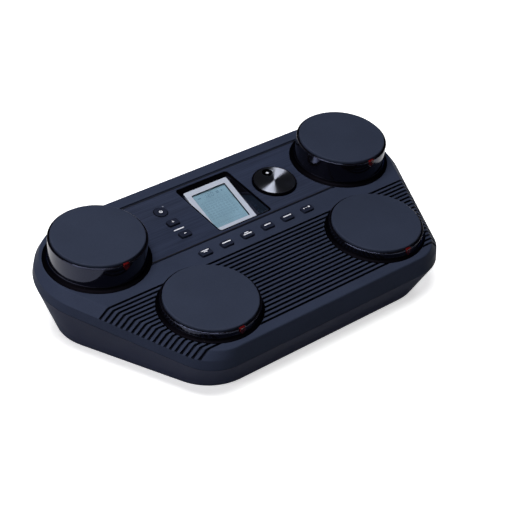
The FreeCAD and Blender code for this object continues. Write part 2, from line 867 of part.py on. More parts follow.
def make_lcd_surround():
    """A funnel-shaped moulding from the opening in the deck down to the tilted frame."""
    frame = display_frame()
    bottom = display_floor_w() - SURROUND_FLOOR
    rim = rect_wire(WELL_LEFT + FIT_GAP, WELL_RIGHT - FIT_GAP, WELL_FRONT + FIT_GAP,
                    WELL_BACK - FIT_GAP, WELL_ROUND)
    foot = put(display_rect(SURROUND_WALL, bottom, FRAME_ROUND + SURROUND_WALL), frame)
    inset = FIT_GAP + WELL_RIM
    mouth = rect_wire(WELL_LEFT + inset, WELL_RIGHT - inset, WELL_FRONT + inset,
                      WELL_BACK - inset, WELL_ROUND - WELL_RIM)
    throat = put(display_rect(FIT_GAP / 2, 0.0, FRAME_ROUND), frame)
    shell = Part.makeLoft([foot, rim], True, True).cut(Part.makeLoft([throat, mouth], True, True))
    pocket = display_slab(FIT_GAP / 2, display_floor_w(), CLEAN_CUT / 4)
    port = display_slab(-SURROUND_LEDGE, bottom - CLEAN_CUT, 0)
    return on_deck(shell.cut([put(pocket, frame), put(port, frame)]))


def window_prism(low, high, grow=0.0):
    half_u = WINDOW_WIDTH / 2 + grow
    half_v = WINDOW_DEPTH / 2 + grow
    wire = rect_wire(-half_u, half_u, WINDOW_SHIFT - half_v, WINDOW_SHIFT + half_v,
                     WINDOW_ROUND, low)
    return prism(wire, high - low)


def on_display(shape):
    return on_deck(put(shape, display_frame()))


def make_lcd_frame():
    plate = display_slab(0, -FRAME_THICK, 0)
    edges = [e for e in plate.Edges if e.BoundBox.ZMin > -TOUCH]
    plate = plate.makeFillet(FRAME_THICK / 5, edges)
    return on_display(plate.cut(window_prism(-FRAME_THICK - CLEAN_CUT, CLEAN_CUT)))


def make_lcd_lens():
    return on_display(display_slab(-FIT_GAP, display_floor_w(), -FRAME_THICK))


def make_lcd_module():
    """The display's glass and its carrier, behind the window."""
    low = display_floor_w() - MODULE_THICK
    carrier = display_slab(-MODULE_MARGIN, low, display_floor_w())
    rim = display_slab(-MODULE_MARGIN - FRAME_THICK, low, low + MODULE_THICK / 3)
    return on_display(carrier.cut(rim))


# Dial

def make_data_dial():
    """The dial's disc and hub, with a shallow tray for its metal cap."""
    low = -DIAL_SINK + DIAL_GAP
    seat = DIAL_TOP - CAP_THICK
    bore = SHAFT_R + SHAFT_PRESS_GAP
    blind = SHAFT_TOP + SHAFT_PRESS_GAP
    r = DIAL_R
    turn = round_turn(DIAL_ROUND)
    points = [(0, blind), (bore, blind), (bore, -HUB_DROP), (HUB_R, -HUB_DROP), (HUB_R, low),
              (r, low), (r, DIAL_TOP - DIAL_ROUND), (r - DIAL_ROUND, DIAL_TOP),
              (CAP_R + SCREW_GAP, DIAL_TOP), (CAP_R + SCREW_GAP, seat), (0, seat)]
    dial = revolve(points, {6: (r - turn, DIAL_TOP - turn)})
    return on_deck(shifted(dial, DIAL_U, DIAL_V))


def make_dial_cap():
    """The spun metal face, with a round finger dimple near its edge."""
    cap = cylinder(CAP_R, DIAL_TOP - CAP_THICK, DIAL_TOP)
    turn = math.radians(DIMPLE_AZIMUTH)
    centre = V(DIMPLE_REACH * math.cos(turn), DIMPLE_REACH * math.sin(turn),
               DIAL_TOP - DIMPLE_DEPTH + DIMPLE_BALL)
    cap = cap.cut(Part.makeSphere(DIMPLE_BALL, centre))
    return on_deck(shifted(cap, DIAL_U, DIAL_V))


def make_encoder_shaft():
    return on_deck(cylinder(SHAFT_R, SHAFT_BOTTOM, SHAFT_TOP, DIAL_U, DIAL_V))


def make_encoder_body():
    half_u = ENCODER_WIDTH / 2
    half_v = ENCODER_DEPTH / 2
    body = box(DIAL_U - half_u, DIAL_U + half_u, DIAL_V - half_v, DIAL_V + half_v,
               CONTROL_BOARD_TOP, -DECK_THICK - FIT_GAP)
    bore = cylinder(SHAFT_R + SHAFT_RUN_GAP, SHAFT_BOTTOM - FIT_GAP, 0, DIAL_U, DIAL_V)
    return on_deck(body.cut(bore))


# Buttons, switches and the control board

def make_button(u, v, size):
    """A key cap with a flange that holds it under the deck and a stem on its switch."""
    seat = -DECK_THICK - BUTTON_SEAT_GAP
    top = POWER_PROUD if len(size) == 1 else BUTTON_PROUD
    cap = key_prism(u, v, size, 0.0, seat, top)
    edges = [e for e in cap.Edges if e.BoundBox.ZMin > top - TOUCH]
    cap = cap.makeFillet(min(BUTTON_ROUND, POWER_PROUD * 0.75), edges)
    flange = key_prism(u, v, size, FLANGE_REACH, seat - FLANGE_THICK, seat)
    stem = cylinder(STEM_R, seat - FLANGE_THICK - STEM_DROP, seat, u, v)
    return on_deck(fused([cap, flange, stem]))


def switch_top():
    return -DECK_THICK - BUTTON_SEAT_GAP - FLANGE_THICK - STEM_DROP - SWITCH_TOP_GAP


def make_tact_switches():
    """A push switch under each button, as a group."""
    half = SWITCH_WIDTH / 2
    body_top = switch_top() - SWITCH_BUTTON_RISE
    switches = []
    for name, u, v, size in button_list():
        body = box(u - half, u + half, v - half, v + half, CONTROL_BOARD_TOP, body_top)
        switches.append(body.fuse(cylinder(SWITCH_BUTTON_R, body_top, switch_top(), u, v)))
    return on_deck(Part.makeCompound(switches))


def make_control_board():
    left, right, front, back = CONTROL_BOARD
    low = CONTROL_BOARD_TOP - BOARD_THICK
    board = box(left, right, front, back, low, CONTROL_BOARD_TOP)
    gap = CONTROL_CUT_GAP
    board = board.cut(box(WELL_LEFT - gap, WELL_RIGHT + gap, WELL_FRONT - gap, WELL_BACK + gap,
                          low - CLEAN_CUT, 0))
    for u, v in control_boss_places():
        board = board.cut(board_hole(low, CONTROL_BOARD_TOP, u, v))
    return on_deck(board)


def make_board_screws():
    """The small screws of the three boards and of the battery bay, as a group."""
    small = screw(SCREW_HEAD_R, SCREW_HEAD_THICK, BOARD_SCREW_R, BOARD_SCREW_LENGTH)
    screws = []
    for u, v in control_boss_places():
        screws.append(on_deck(shifted(small, u, v, CONTROL_BOARD_TOP - BOARD_THICK)))
    over = FreeCAD.Rotation(V(1, 0, 0), 180)
    for board, z in ((MAIN_BOARD, MAIN_BOARD_Z), (JACK_BOARD, JACK_BOARD_Z)):
        for x, y in board_boss_places(board):
            screws.append(put(small, FreeCAD.Placement(V(x, y, z + BOARD_THICK), over)))
    short = screw(SCREW_HEAD_R, SCREW_HEAD_THICK, BOARD_SCREW_R, BAY_WALL + WALL / 2 - SCREW_GAP)
    for x, y in bay_screw_places():
        screws.append(put(short, FreeCAD.Placement(V(x, y, floor_z() + BAY_WALL), over)))
    return Part.makeCompound(screws)


# Pads

def make_pad_skin(pad):
    top = pad.top
    inner = PAD_R - SKIRT_THICK
    edge = PAD_EDGE_ROUND
    turn = round_turn(edge)
    points = [(0, top - SKIN_THICK), (inner, top - SKIN_THICK), (inner, top - SKIRT_DROP),
              (PAD_R, top - SKIRT_DROP), (PAD_R, top - edge), (PAD_R - edge, top), (0, top)]
    return revolve(points, {4: (PAD_R - turn, top - turn)})


def plate_r():
    return PAD_R - SKIRT_THICK - PLATE_GAP


def plate_low(top):
    return top - SKIN_THICK - PLATE_THICK


def foam_top(top):
    return plate_low(top) - PAD_TRAVEL_ROOM


def ledge_top(top):
    return foam_top(top) - FOAM_THICK


def make_pad_plate(pad):
    return cylinder(plate_r(), plate_low(pad.top), pad.top - SKIN_THICK)


def make_piezo(pad):
    """The sensor: a metal disc with a smaller ceramic one under it."""
    high = plate_low(pad.top)
    disc = cylinder(PIEZO_R, high - PIEZO_THICK / 2, high)
    ceramic = cylinder(PIEZO_CERAMIC_R, high - PIEZO_THICK, high - PIEZO_THICK / 2)
    return disc.fuse(ceramic)


def make_foam_ring(top):
    outer = plate_r() - PLATE_GAP
    return ring(outer - FOAM_WIDTH, outer, ledge_top(top), foam_top(top))


def lamp_prism(top, grow, inner):
    """The lamp's shield-shaped plan, drawn through the front of the rim."""
    half = LAMP_WIDTH / 2 + grow
    high = top - LAMP_DROP + grow
    shoulder = high - LAMP_SHOULDER - grow
    low = high - LAMP_HEIGHT - 2 * grow
    points = [V(-half, -inner, high), V(half, -inner, high), V(half, -inner, shoulder),
              V(0, -inner, low), V(-half, -inner, shoulder)]
    length = housing_r() + LAMP_PROUD + CLEAN_CUT - inner
    return prism(rounded_wire(points, LAMP_ROUNDS), length, V(0, -1, 0))


def make_hit_lamp(pad):
    """A red window that stands in the rim's notch and a little above the rim."""
    low = pad.top - LAMP_DROP - LAMP_HEIGHT - CLEAN_CUT
    face = ring(housing_bore_r() + LAMP_GAP, housing_r() + LAMP_PROUD, low, pad.top)
    return lamp_prism(pad.top, 0.0, plate_r()).common(face)


def make_pad_housing(pad):
    """A gloss pot with a flared foot, a ledge for the foam and screw bosses."""
    top = pad.top
    bore = housing_bore_r()
    wall = housing_r()
    rim = top - RIM_DROP
    turn = round_turn(RIM_ROUND)
    ledge = ledge_top(top)
    far = flare_r(pad)
    bend = math.sqrt(0.5)
    run = far - wall
    rise = FLARE_RISE - FLARE_LIP
    points = [(bore, ledge), (bore, rim), (wall - RIM_ROUND, rim), (wall, rim - RIM_ROUND),
              (wall, FLARE_RISE), (far, FLARE_LIP), (far, -SEAT_DEPTH),
              (flange_bore_r(), -SEAT_DEPTH), (flange_bore_r(), 0), (bore, 0),
              (bore, ledge - LEDGE_THICK), (bore - LEDGE_WIDTH, ledge - LEDGE_THICK),
              (bore - LEDGE_WIDTH, ledge)]
    pot = revolve(points, {2: (wall - turn, rim - turn),
                           4: (far - run * bend, FLARE_RISE - rise * bend)})
    bosses = [cylinder(PAD_BOSS_R, -SEAT_DEPTH, ledge - LEDGE_THICK / 2, x, y)
              for x, y in circle_places(pad_boss_pitch_r(), PAD_BOSS_COUNT)]
    pot = fused([pot] + bosses)
    drills = [cylinder(PAD_SCREW_R + SCREW_GAP, -SEAT_DEPTH - CLEAN_CUT,
                       PAD_SCREW_REACH - SEAT_DEPTH, x, y)
              for x, y in circle_places(pad_boss_pitch_r(), PAD_BOSS_COUNT)]
    return pot.cut(drills + [lamp_prism(top, LAMP_GAP, bore - LAMP_GAP)])


def make_pad_screws():
    """The screws that hold the pad housings down, from under the seat rings."""
    length = SEAT_THICK + PAD_SCREW_REACH - SCREW_GAP
    one = screw(PAD_SCREW_HEAD_R, PAD_SCREW_HEAD_THICK, PAD_SCREW_R, length)
    screws = []
    for pad in pad_places().values():
        for x, y in circle_places(pad_boss_pitch_r(), PAD_BOSS_COUNT, pad.u, pad.v):
            screws.append(on_deck(shifted(one, x, y, seat_floor_w())))
    return Part.makeCompound(screws)


def pad_nodes():
    """Every pad's pieces, each in its own node."""
    makers = (("pad_skin", make_pad_skin), ("pad_plate", make_pad_plate), ("piezo", make_piezo),
              ("hit_lamp", make_hit_lamp), ("pad_housing", make_pad_housing))
    nodes = {}
    rings = []
    for place, pad in pad_places().items():
        for name, maker in makers:
            nodes["%s_%s" % (name, place)] = on_deck(shifted(maker(pad), pad.u, pad.v))
        rings.append(on_deck(shifted(make_foam_ring(pad.top), pad.u, pad.v)))
    nodes["foam_rings"] = Part.makeCompound(rings)
    return nodes


# Lower boards and sockets

def make_board(board, z):
    left, right, front, back = board
    plate = box(left, right, front, back, z, z + BOARD_THICK)
    for x, y in board_boss_places(board):
        plate = plate.cut(board_hole(z, z + BOARD_THICK, x, y))
    return plate


def socket_hole(x, radius):
    """An upright round hole through the recess's face."""
    axis = V(0, 1, 0)
    return Part.makeCylinder(radius, RECESS_WALL + 2 * CLEAN_CUT,
                             V(x, RECESS_FACE_Y - RECESS_WALL - CLEAN_CUT, JACK_Z), axis)


def make_socket_tray():
    """The frame that lines the socket recess in the back wall, open at both ends."""
    lining = recess_block(0.0).common(hull_block())
    return lining.cut(shifted(recess_block(-RECESS_WALL), 0, -CLEAN_CUT))


def make_jack_panel():
    """The flat plate at the bottom of the recess, with a hole for each socket."""
    wire = rect_wire(-RECESS_HALF + RECESS_FIT, RECESS_HALF - RECESS_FIT, RECESS_LOW + RECESS_FIT,
                     RECESS_HIGH - RECESS_FIT, RECESS_ROUND - RECESS_FIT)
    plate = prism(put(wire, facing_back(RECESS_FACE_Y - RECESS_WALL)), RECESS_WALL, V(0, 1, 0))
    holes = [socket_hole(x, PEDAL_COLLAR_R + FIT_GAP) for x in PEDAL_X]
    holes += [socket_hole(x, AUDIO_COLLAR_R + FIT_GAP) for x in AUDIO_X]
    holes.append(socket_hole(INLET_X, INLET_BORE_R + RECESS_WALL + FIT_GAP))
    half_x = USB_WIDTH / 2 + FIT_GAP
    half_z = USB_HEIGHT / 2 + FIT_GAP
    holes.append(box(USB_X - half_x, USB_X + half_x, RECESS_FACE_Y - RECESS_WALL - CLEAN_CUT,
                     RECESS_FACE_Y + CLEAN_CUT, JACK_Z - half_z, JACK_Z + half_z))
    return plate.cut(holes)


def jack_seat_z():
    return JACK_BOARD_Z + BOARD_THICK


def round_jack(x, body, depth, bore_r, collar_r):
    """A jack body on the board, with a collar that fills its hole in the recess's face."""
    back = RECESS_FACE_Y - RECESS_WALL - FIT_GAP
    mouth = RECESS_FACE_Y + SOCKET_PROUD
    half = body / 2
    block = box(x - half, x + half, mouth - depth - RECESS_WALL, back, jack_seat_z(), JACK_Z + half)
    collar = Part.makeCylinder(collar_r, mouth - back, V(x, back, JACK_Z), V(0, 1, 0))
    bore = Part.makeCylinder(bore_r, depth, V(x, mouth - depth, JACK_Z), V(0, 1, 0))
    return fused([block, collar]).cut(bore)


def make_pedal_jacks():
    return Part.makeCompound([round_jack(x, PEDAL_BODY, PEDAL_DEPTH, PEDAL_BORE_R, PEDAL_COLLAR_R)
                              for x in PEDAL_X])


def make_audio_jacks():
    return Part.makeCompound([round_jack(x, AUDIO_BODY, AUDIO_DEPTH, AUDIO_BORE_R, AUDIO_COLLAR_R)
                              for x in AUDIO_X])


def make_dc_inlet():
    """The power inlet: a barrel socket, and its centre pin on the socket's bottom."""
    jack = round_jack(INLET_X, INLET_BODY, INLET_DEPTH, INLET_BORE_R, INLET_BORE_R + RECESS_WALL)
    mouth = RECESS_FACE_Y + SOCKET_PROUD
    pin = Part.makeCylinder(INLET_PIN_R, INLET_DEPTH - SOCKET_PROUD,
                            V(INLET_X, mouth - INLET_DEPTH, JACK_Z), V(0, 1, 0))
    return Part.makeCompound([jack, pin])


def make_usb_socket():
    """The data socket: a square shell with cut corners and a tongue inside."""
    mouth = RECESS_FACE_Y + SOCKET_PROUD
    half_x = USB_WIDTH / 2
    half_z = USB_HEIGHT / 2
    back = mouth - USB_LENGTH
    shell = box(USB_X - half_x, USB_X + half_x, back, mouth, JACK_Z - half_z, JACK_Z + half_z)
    foot = box(USB_X - half_x, USB_X + half_x, back, RECESS_FACE_Y - RECESS_WALL - FIT_GAP,
               jack_seat_z(), JACK_Z)
    half = USB_OPEN / 2
    cut = half / 3
    corners = [V(USB_X - half, back + RECESS_WALL, JACK_Z - half),
               V(USB_X + half, back + RECESS_WALL, JACK_Z - half),
               V(USB_X + half, back + RECESS_WALL, JACK_Z + half - cut),
               V(USB_X + half - cut, back + RECESS_WALL, JACK_Z + half),
               V(USB_X - half + cut, back + RECESS_WALL, JACK_Z + half),
               V(USB_X - half, back + RECESS_WALL, JACK_Z + half - cut)]
    mouth_cut = prism(Part.makePolygon(corners + corners[:1]), USB_LENGTH, V(0, 1, 0))
    half_tongue_x = USB_TONGUE[0] / 2
    half_tongue_z = USB_TONGUE[1] / 2
    tongue = box(USB_X - half_tongue_x, USB_X + half_tongue_x, back + RECESS_WALL,
                 mouth - RECESS_WALL, JACK_Z - half_tongue_z, JACK_Z + half_tongue_z)
    return Part.makeCompound([fused([shell, foot]).cut(mouth_cut), tongue])


# Loudspeakers

def speaker_frame():
    """A flange, a basket and a magnet, with its open side down at Z = 0."""
    top = SPEAKER_FLANGE + BASKET_HEIGHT
    open_r = SPEAKER_OPEN_R
    points = [(open_r, 0), (SPEAKER_R, 0), (SPEAKER_R, SPEAKER_FLANGE),
              (open_r + BASKET_SKIN, SPEAKER_FLANGE), (BASKET_TOP_R + BASKET_SKIN, top),
              (MAGNET_R, top), (MAGNET_R, top + MAGNET_HEIGHT), (0, top + MAGNET_HEIGHT),
              (0, top - BASKET_SKIN), (BASKET_TOP_R - BASKET_SKIN, top - BASKET_SKIN),
              (open_r, SPEAKER_FLANGE)]
    return revolve(points)


def speaker_cone():
    """A paper cone with its dust cap, open side down."""
    low = SPEAKER_FLANGE / 4
    high = low + CONE_HEIGHT
    thick = CONE_THICK
    points = [(CONE_R, low), (CONE_R, low + thick), (CONE_THROAT_R, high + thick), (0, high + thick),
              (0, high - thick), (CONE_THROAT_R, high - thick), (CONE_R - thick, low)]
    return revolve(points)


def speaker_group(one):
    return Part.makeCompound([shifted(one, x, y, floor_z()) for x, y in speaker_places()])


# Battery bay

def bay_screw_places():
    reach = BAY_HALF_LENGTH + BAY_WALL + BAY_TAB / 2
    inset = BAY_HALF_WIDTH - BAY_TAB
    return [(x, y) for x in (-reach, reach) for y in (-inset, inset)]


def make_battery_box():
    """An open-bottomed tray with four screw tabs on the floor and a rib between the rows."""
    low = floor_z()
    outer_x = BAY_HALF_LENGTH + BAY_WALL
    outer_y = BAY_HALF_WIDTH + BAY_WALL
    tray = box(-outer_x, outer_x, -outer_y, outer_y, low, low + BAY_HEIGHT + BAY_WALL)
    tray = tray.cut(box(-BAY_HALF_LENGTH, BAY_HALF_LENGTH, -BAY_HALF_WIDTH, BAY_HALF_WIDTH,
                        low - CLEAN_CUT, low + BAY_HEIGHT))
    tabs = []
    half = BAY_TAB / 2
    for x, y in bay_screw_places():
        inner = math.copysign(BAY_HALF_LENGTH + BAY_WALL / 2, x)
        ends = sorted((inner, x + math.copysign(half, x)))
        tab = box(ends[0], ends[1], y - half, y + half, low, low + BAY_WALL)
        tabs.append(tab.cut(board_hole(low, low + BAY_WALL, x, y)))
    return fused([tray] + tabs)


def make_battery_contacts():
    """Sprung plates at both ends of both rows of cells, as a group."""
    plates = []
    half = CONTACT_SIZE / 2
    for side in (-1, 1):
        for row in (-1, 1):
            wall = side * BAY_HALF_LENGTH
            y = row * CELL_PITCH / 2
            ends = sorted((wall, wall - side * CONTACT_THICK))
            plate = box(ends[0], ends[1], y - half, y + half, CONTACT_Z - half, CONTACT_Z + half)
            nub = Part.makeCylinder(CONTACT_NUB_R, CONTACT_NUB_RISE, V(wall, y, CONTACT_Z),
                                    V(-side, 0, 0))
            plates.append(plate.fuse(nub))
    return Part.makeCompound(plates)


def make_battery_door():
    """The door, flush with the floor, with two hinge tabs and a sprung latch tongue."""
    half_x = DOOR_HOLE_HALF_LENGTH - DOOR_GAP
    half_y = DOOR_HOLE_HALF_WIDTH - DOOR_GAP
    low = FOOT_PROUD
    high = floor_z()
    door = box(-half_x, half_x, -half_y, half_y, low, high)
    slot_y = half_y - LATCH_DEPTH
    tongue = box(-LATCH_HALF_WIDTH, LATCH_HALF_WIDTH, slot_y, half_y + LATCH_NOTCH - DOOR_GAP,
                 low, high)
    door = door.fuse(tongue)
    for side in (-1, 1):
        middle = side * LATCH_HALF_WIDTH
        door = door.cut(box(middle - LATCH_SLOT / 2, middle + LATCH_SLOT / 2, slot_y,
                            half_y + LATCH_NOTCH, low - CLEAN_CUT, high + CLEAN_CUT))
    parts = [door]
    tab_top = high + TAB_LIFT + TAB_THICK
    for x in TAB_PLACES:
        left = x - TAB_LENGTH / 2
        right = x + TAB_LENGTH / 2
        parts.append(box(left, right, -half_y + DOOR_GAP, -half_y + TAB_ROOT, high, tab_top))
        parts.append(box(left, right, -half_y - TAB_REACH, -half_y + TAB_ROOT,
                         high + TAB_LIFT, tab_top))
    rib_x = half_x - 2 * BAY_WALL
    parts.append(box(-rib_x, rib_x, -RIB_THICK / 2, RIB_THICK / 2, high, high + RIB_RISE))
    return fused(parts)


# Feet and case screws

def make_rubber_feet():
    foot = cylinder(FOOT_R, 0, FOOT_PROUD + FOOT_SINK)
    edge = [e for e in foot.Edges if e.Closed and e.BoundBox.ZMax < TOUCH]
    foot = foot.makeFillet(FOOT_ROUND, edge)
    return Part.makeCompound([shifted(foot, x, y) for x, y in mirrored(FOOT_PLACES)])


def make_case_screws():
    shelf = CASE_SPLIT_Z - CASE_SHELF
    length = CASE_SHELF + CASE_SCREW_REACH
    one = screw(CASE_HEAD_R, CASE_HEAD_THICK, CASE_SHANK_R, length)
    return Part.makeCompound([shifted(one, x, y, shelf) for x, y in mirrored(CASE_SCREW_PLACES)])


def build_nodes():
    nodes = {
        "top_cover": make_top_cover(),
        "bottom_cover": make_bottom_cover(),
        "control_panel": make_control_panel(),
        "lcd_surround": make_lcd_surround(),
        "lcd_frame": make_lcd_frame(),
        "lcd_lens": make_lcd_lens(),
        "lcd_module": make_lcd_module(),
        "data_dial": make_data_dial(),
        "dial_cap": make_dial_cap(),
        "encoder_shaft": make_encoder_shaft(),
        "encoder_body": make_encoder_body(),
        "tact_switches": make_tact_switches(),
        "control_board": make_control_board(),
        "board_screws": make_board_screws(),
        "pad_screws": make_pad_screws(),
        "main_board": make_board(MAIN_BOARD, MAIN_BOARD_Z),
        "jack_board": make_board(JACK_BOARD, JACK_BOARD_Z),
        "socket_tray": make_socket_tray(),
        "jack_panel": make_jack_panel(),
        "pedal_jacks": make_pedal_jacks(),
        "audio_jacks": make_audio_jacks(),
        "dc_inlet": make_dc_inlet(),
        "usb_socket": make_usb_socket(),
        "speaker_frames": speaker_group(speaker_frame()),
        "speaker_cones": speaker_group(speaker_cone()),
        "battery_box": make_battery_box(),
        "battery_contacts": make_battery_contacts(),
        "battery_door": make_battery_door(),
        "rubber_feet": make_rubber_feet(),
        "case_screws": make_case_screws(),
    }
    for name, u, v, size in button_list():
        nodes[name] = make_button(u, v, size)
    nodes.update(pad_nodes())
    return nodes


def main():
    os.makedirs("parts", exist_ok=True)
    for name, shape in build_nodes().items():
        shape.exportStep("parts/%s.step" % name)
        bounds = shape.BoundBox
        print("%-24s %2d solids %8.0f mm3 valid %s  z %.1f to %.1f" % (
            name, len(shape.Solids), shape.Volume, shape.isValid(), bounds.ZMin, bounds.ZMax))


main()
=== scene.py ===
import json
import math

import bmesh
import bpy
from mathutils import Matrix, Vector


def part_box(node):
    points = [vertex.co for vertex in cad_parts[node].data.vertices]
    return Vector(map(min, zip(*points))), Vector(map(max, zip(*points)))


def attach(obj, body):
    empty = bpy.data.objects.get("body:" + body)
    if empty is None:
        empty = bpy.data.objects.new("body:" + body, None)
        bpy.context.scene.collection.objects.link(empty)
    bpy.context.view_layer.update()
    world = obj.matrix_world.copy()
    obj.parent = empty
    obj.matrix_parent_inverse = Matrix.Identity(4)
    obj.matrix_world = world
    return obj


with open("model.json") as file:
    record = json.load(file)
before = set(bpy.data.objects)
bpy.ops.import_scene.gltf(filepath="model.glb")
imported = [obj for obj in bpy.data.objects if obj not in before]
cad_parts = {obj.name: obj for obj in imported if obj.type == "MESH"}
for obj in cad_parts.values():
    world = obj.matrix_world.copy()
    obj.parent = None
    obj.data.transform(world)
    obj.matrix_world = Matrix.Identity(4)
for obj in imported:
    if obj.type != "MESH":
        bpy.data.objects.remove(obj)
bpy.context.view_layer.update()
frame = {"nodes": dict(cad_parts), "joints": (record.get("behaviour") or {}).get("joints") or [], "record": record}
nodes = frame["nodes"]
MM = 0.001


# Frames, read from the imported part

DISPLAY_TILT = math.radians(14.8)
# The middle of the dial's finger dimple as seen from the dial's axis, and its size
DIMPLE_AZIMUTH = math.radians(81.8)
DIMPLE_REACH = 14.6 * MM
DIMPLE_DEPTH = 0.8 * MM
DIMPLE_R = 6.1 * MM
DIMPLE_EDGE = 0.3 * MM


def joint(name):
    """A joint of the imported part."""
    return next(j for j in frame["joints"] if j["name"] == name)


def frame_at(origin, lean):
    """A frame at origin whose Z axis leans forward from upright by an angle."""
    return Matrix.Translation(Vector(origin)) @ Matrix.Rotation(lean, 4, "X")


def middle(corners):
    """The point halfway between two corners."""
    return (corners[0] + corners[1]) / 2


DIAL = joint("dial_turn")
DECK_LEAN = math.atan2(-DIAL["axis"][1], DIAL["axis"][2])
DECK = frame_at(DIAL["pos_m"], DECK_LEAN)
DISPLAY = frame_at(middle(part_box("lcd_lens")), DECK_LEAN + DISPLAY_TILT)


def points_in(node, place):
    """A node's corners as seen from a frame."""
    back = place.inverted()
    return [back @ v.co for v in nodes[node].data.vertices]


def box_in(node, place):
    """A node's lowest and highest corners as seen from a frame."""
    points = points_in(node, place)
    low = Vector(min(p[i] for p in points) for i in range(3))
    high = Vector(max(p[i] for p in points) for i in range(3))
    return low, high


def on_deck(x, y, z):
    """A frame at a point given in the deck's frame, square to the deck."""
    return DECK @ Matrix.Translation((x, y, z))


def top_of(node):
    """The frame at the middle of a node's top, square to the deck."""
    box = box_in(node, DECK)
    return on_deck(middle(box).x, middle(box).y, box[1].z)


def dimple_frame():
    """A frame at the middle of the dial's finger dimple, level with the dial's top."""
    x = DIMPLE_REACH * math.cos(DIMPLE_AZIMUTH)
    y = DIMPLE_REACH * math.sin(DIMPLE_AZIMUTH)
    return top_of("dial_cap") @ Matrix.Translation((x, y, 0))


# Node trees

WHITE = (1.0, 1.0, 1.0, 1.0)
# The range that most of a noise's values fall in
NOISE_LOW = 0.3
NOISE_HIGH = 0.7
# A speck's radius and soft edge, in cells
SPECK_R = 0.1
SPECK_EDGE = 0.06
# Rays that feel for near edges and walls
PROBE_RAYS = 8
# A groove, which gets painted shade, is a place with walls this near, from shut in to wide open as a share of the
# sky
GROOVE_REACH = 4.5 * MM
GROOVE_SHUT = 0.35
GROOVE_OPEN = 0.85
# A floor is sunk, and gets painted shade, if it lies this far below the deck and faces as squarely up as the deck
# does
SUNK_DEPTH = 1.6 * MM
LEVEL_FROM = 0.97
LEVEL_FULL = 0.99
# How softly one height of a surface blends into the next
EDGE_BLEND = 0.5 * MM


class Nodes:
    """A node tree with short calls for the nodes used here."""

    def __init__(self, tree):
        self.tree = tree

    def feed(self, socket, value):
        """Links a socket to another node's output, or sets its value."""
        if isinstance(value, bpy.types.NodeSocket):
            self.tree.links.new(value, socket)
        else:
            socket.default_value = value

    def add(self, kind, inputs=(), **settings):
        """A new node with its settings made and its inputs fed."""
        node = self.tree.nodes.new("ShaderNode" + kind)
        for key, value in settings.items():
            setattr(node, key, value)
        for key, value in dict(inputs).items():
            self.feed(node.inputs[key], value)
        return node

    def span(self, value, from_low, from_high, low, high):
        """A value carried from one range over to another, and held at its ends."""
        inputs = {"Value": value, "From Min": from_low, "From Max": from_high}
        return self.add("MapRange", inputs | {"To Min": low, "To Max": high}).outputs[0]

    def spread(self, noise, low=0, high=1):
        """The middle of a noise's range, spread from low to high."""
        return self.span(noise, NOISE_LOW, NOISE_HIGH, low, high)

    def maths(self, operation, a, b):
        """The result of an operation on two numbers."""
        return self.add("Math", {0: a, 1: b}, operation=operation).outputs[0]

    def measure(self, operation, a, b=(0, 0, 0)):
        """The number that a vector operation gives."""
        return self.add("VectorMath", {0: a, 1: b}, operation=operation).outputs["Value"]

    def mix(self, share, first, second):
        """A colour between two: the first at a share of 0, the second at 1."""
        inputs = {"Factor_Float": share, "A_Color": first, "B_Color": second}
        node = self.tree.nodes.new("ShaderNodeMix")
        node.data_type = "RGBA"
        for socket in node.inputs:
            if socket.identifier in inputs:
                self.feed(socket, inputs[socket.identifier])
        return next(s for s in node.outputs if s.type == "RGBA")

    def tones(self, share, colour, dark, light):
        """A colour between two shades of itself."""
        return self.mix(share, shade(colour, dark), shade(colour, light))

    def here(self):
        """The object's own coordinates, in metres."""
        return self.add("TexCoord").outputs["Object"]


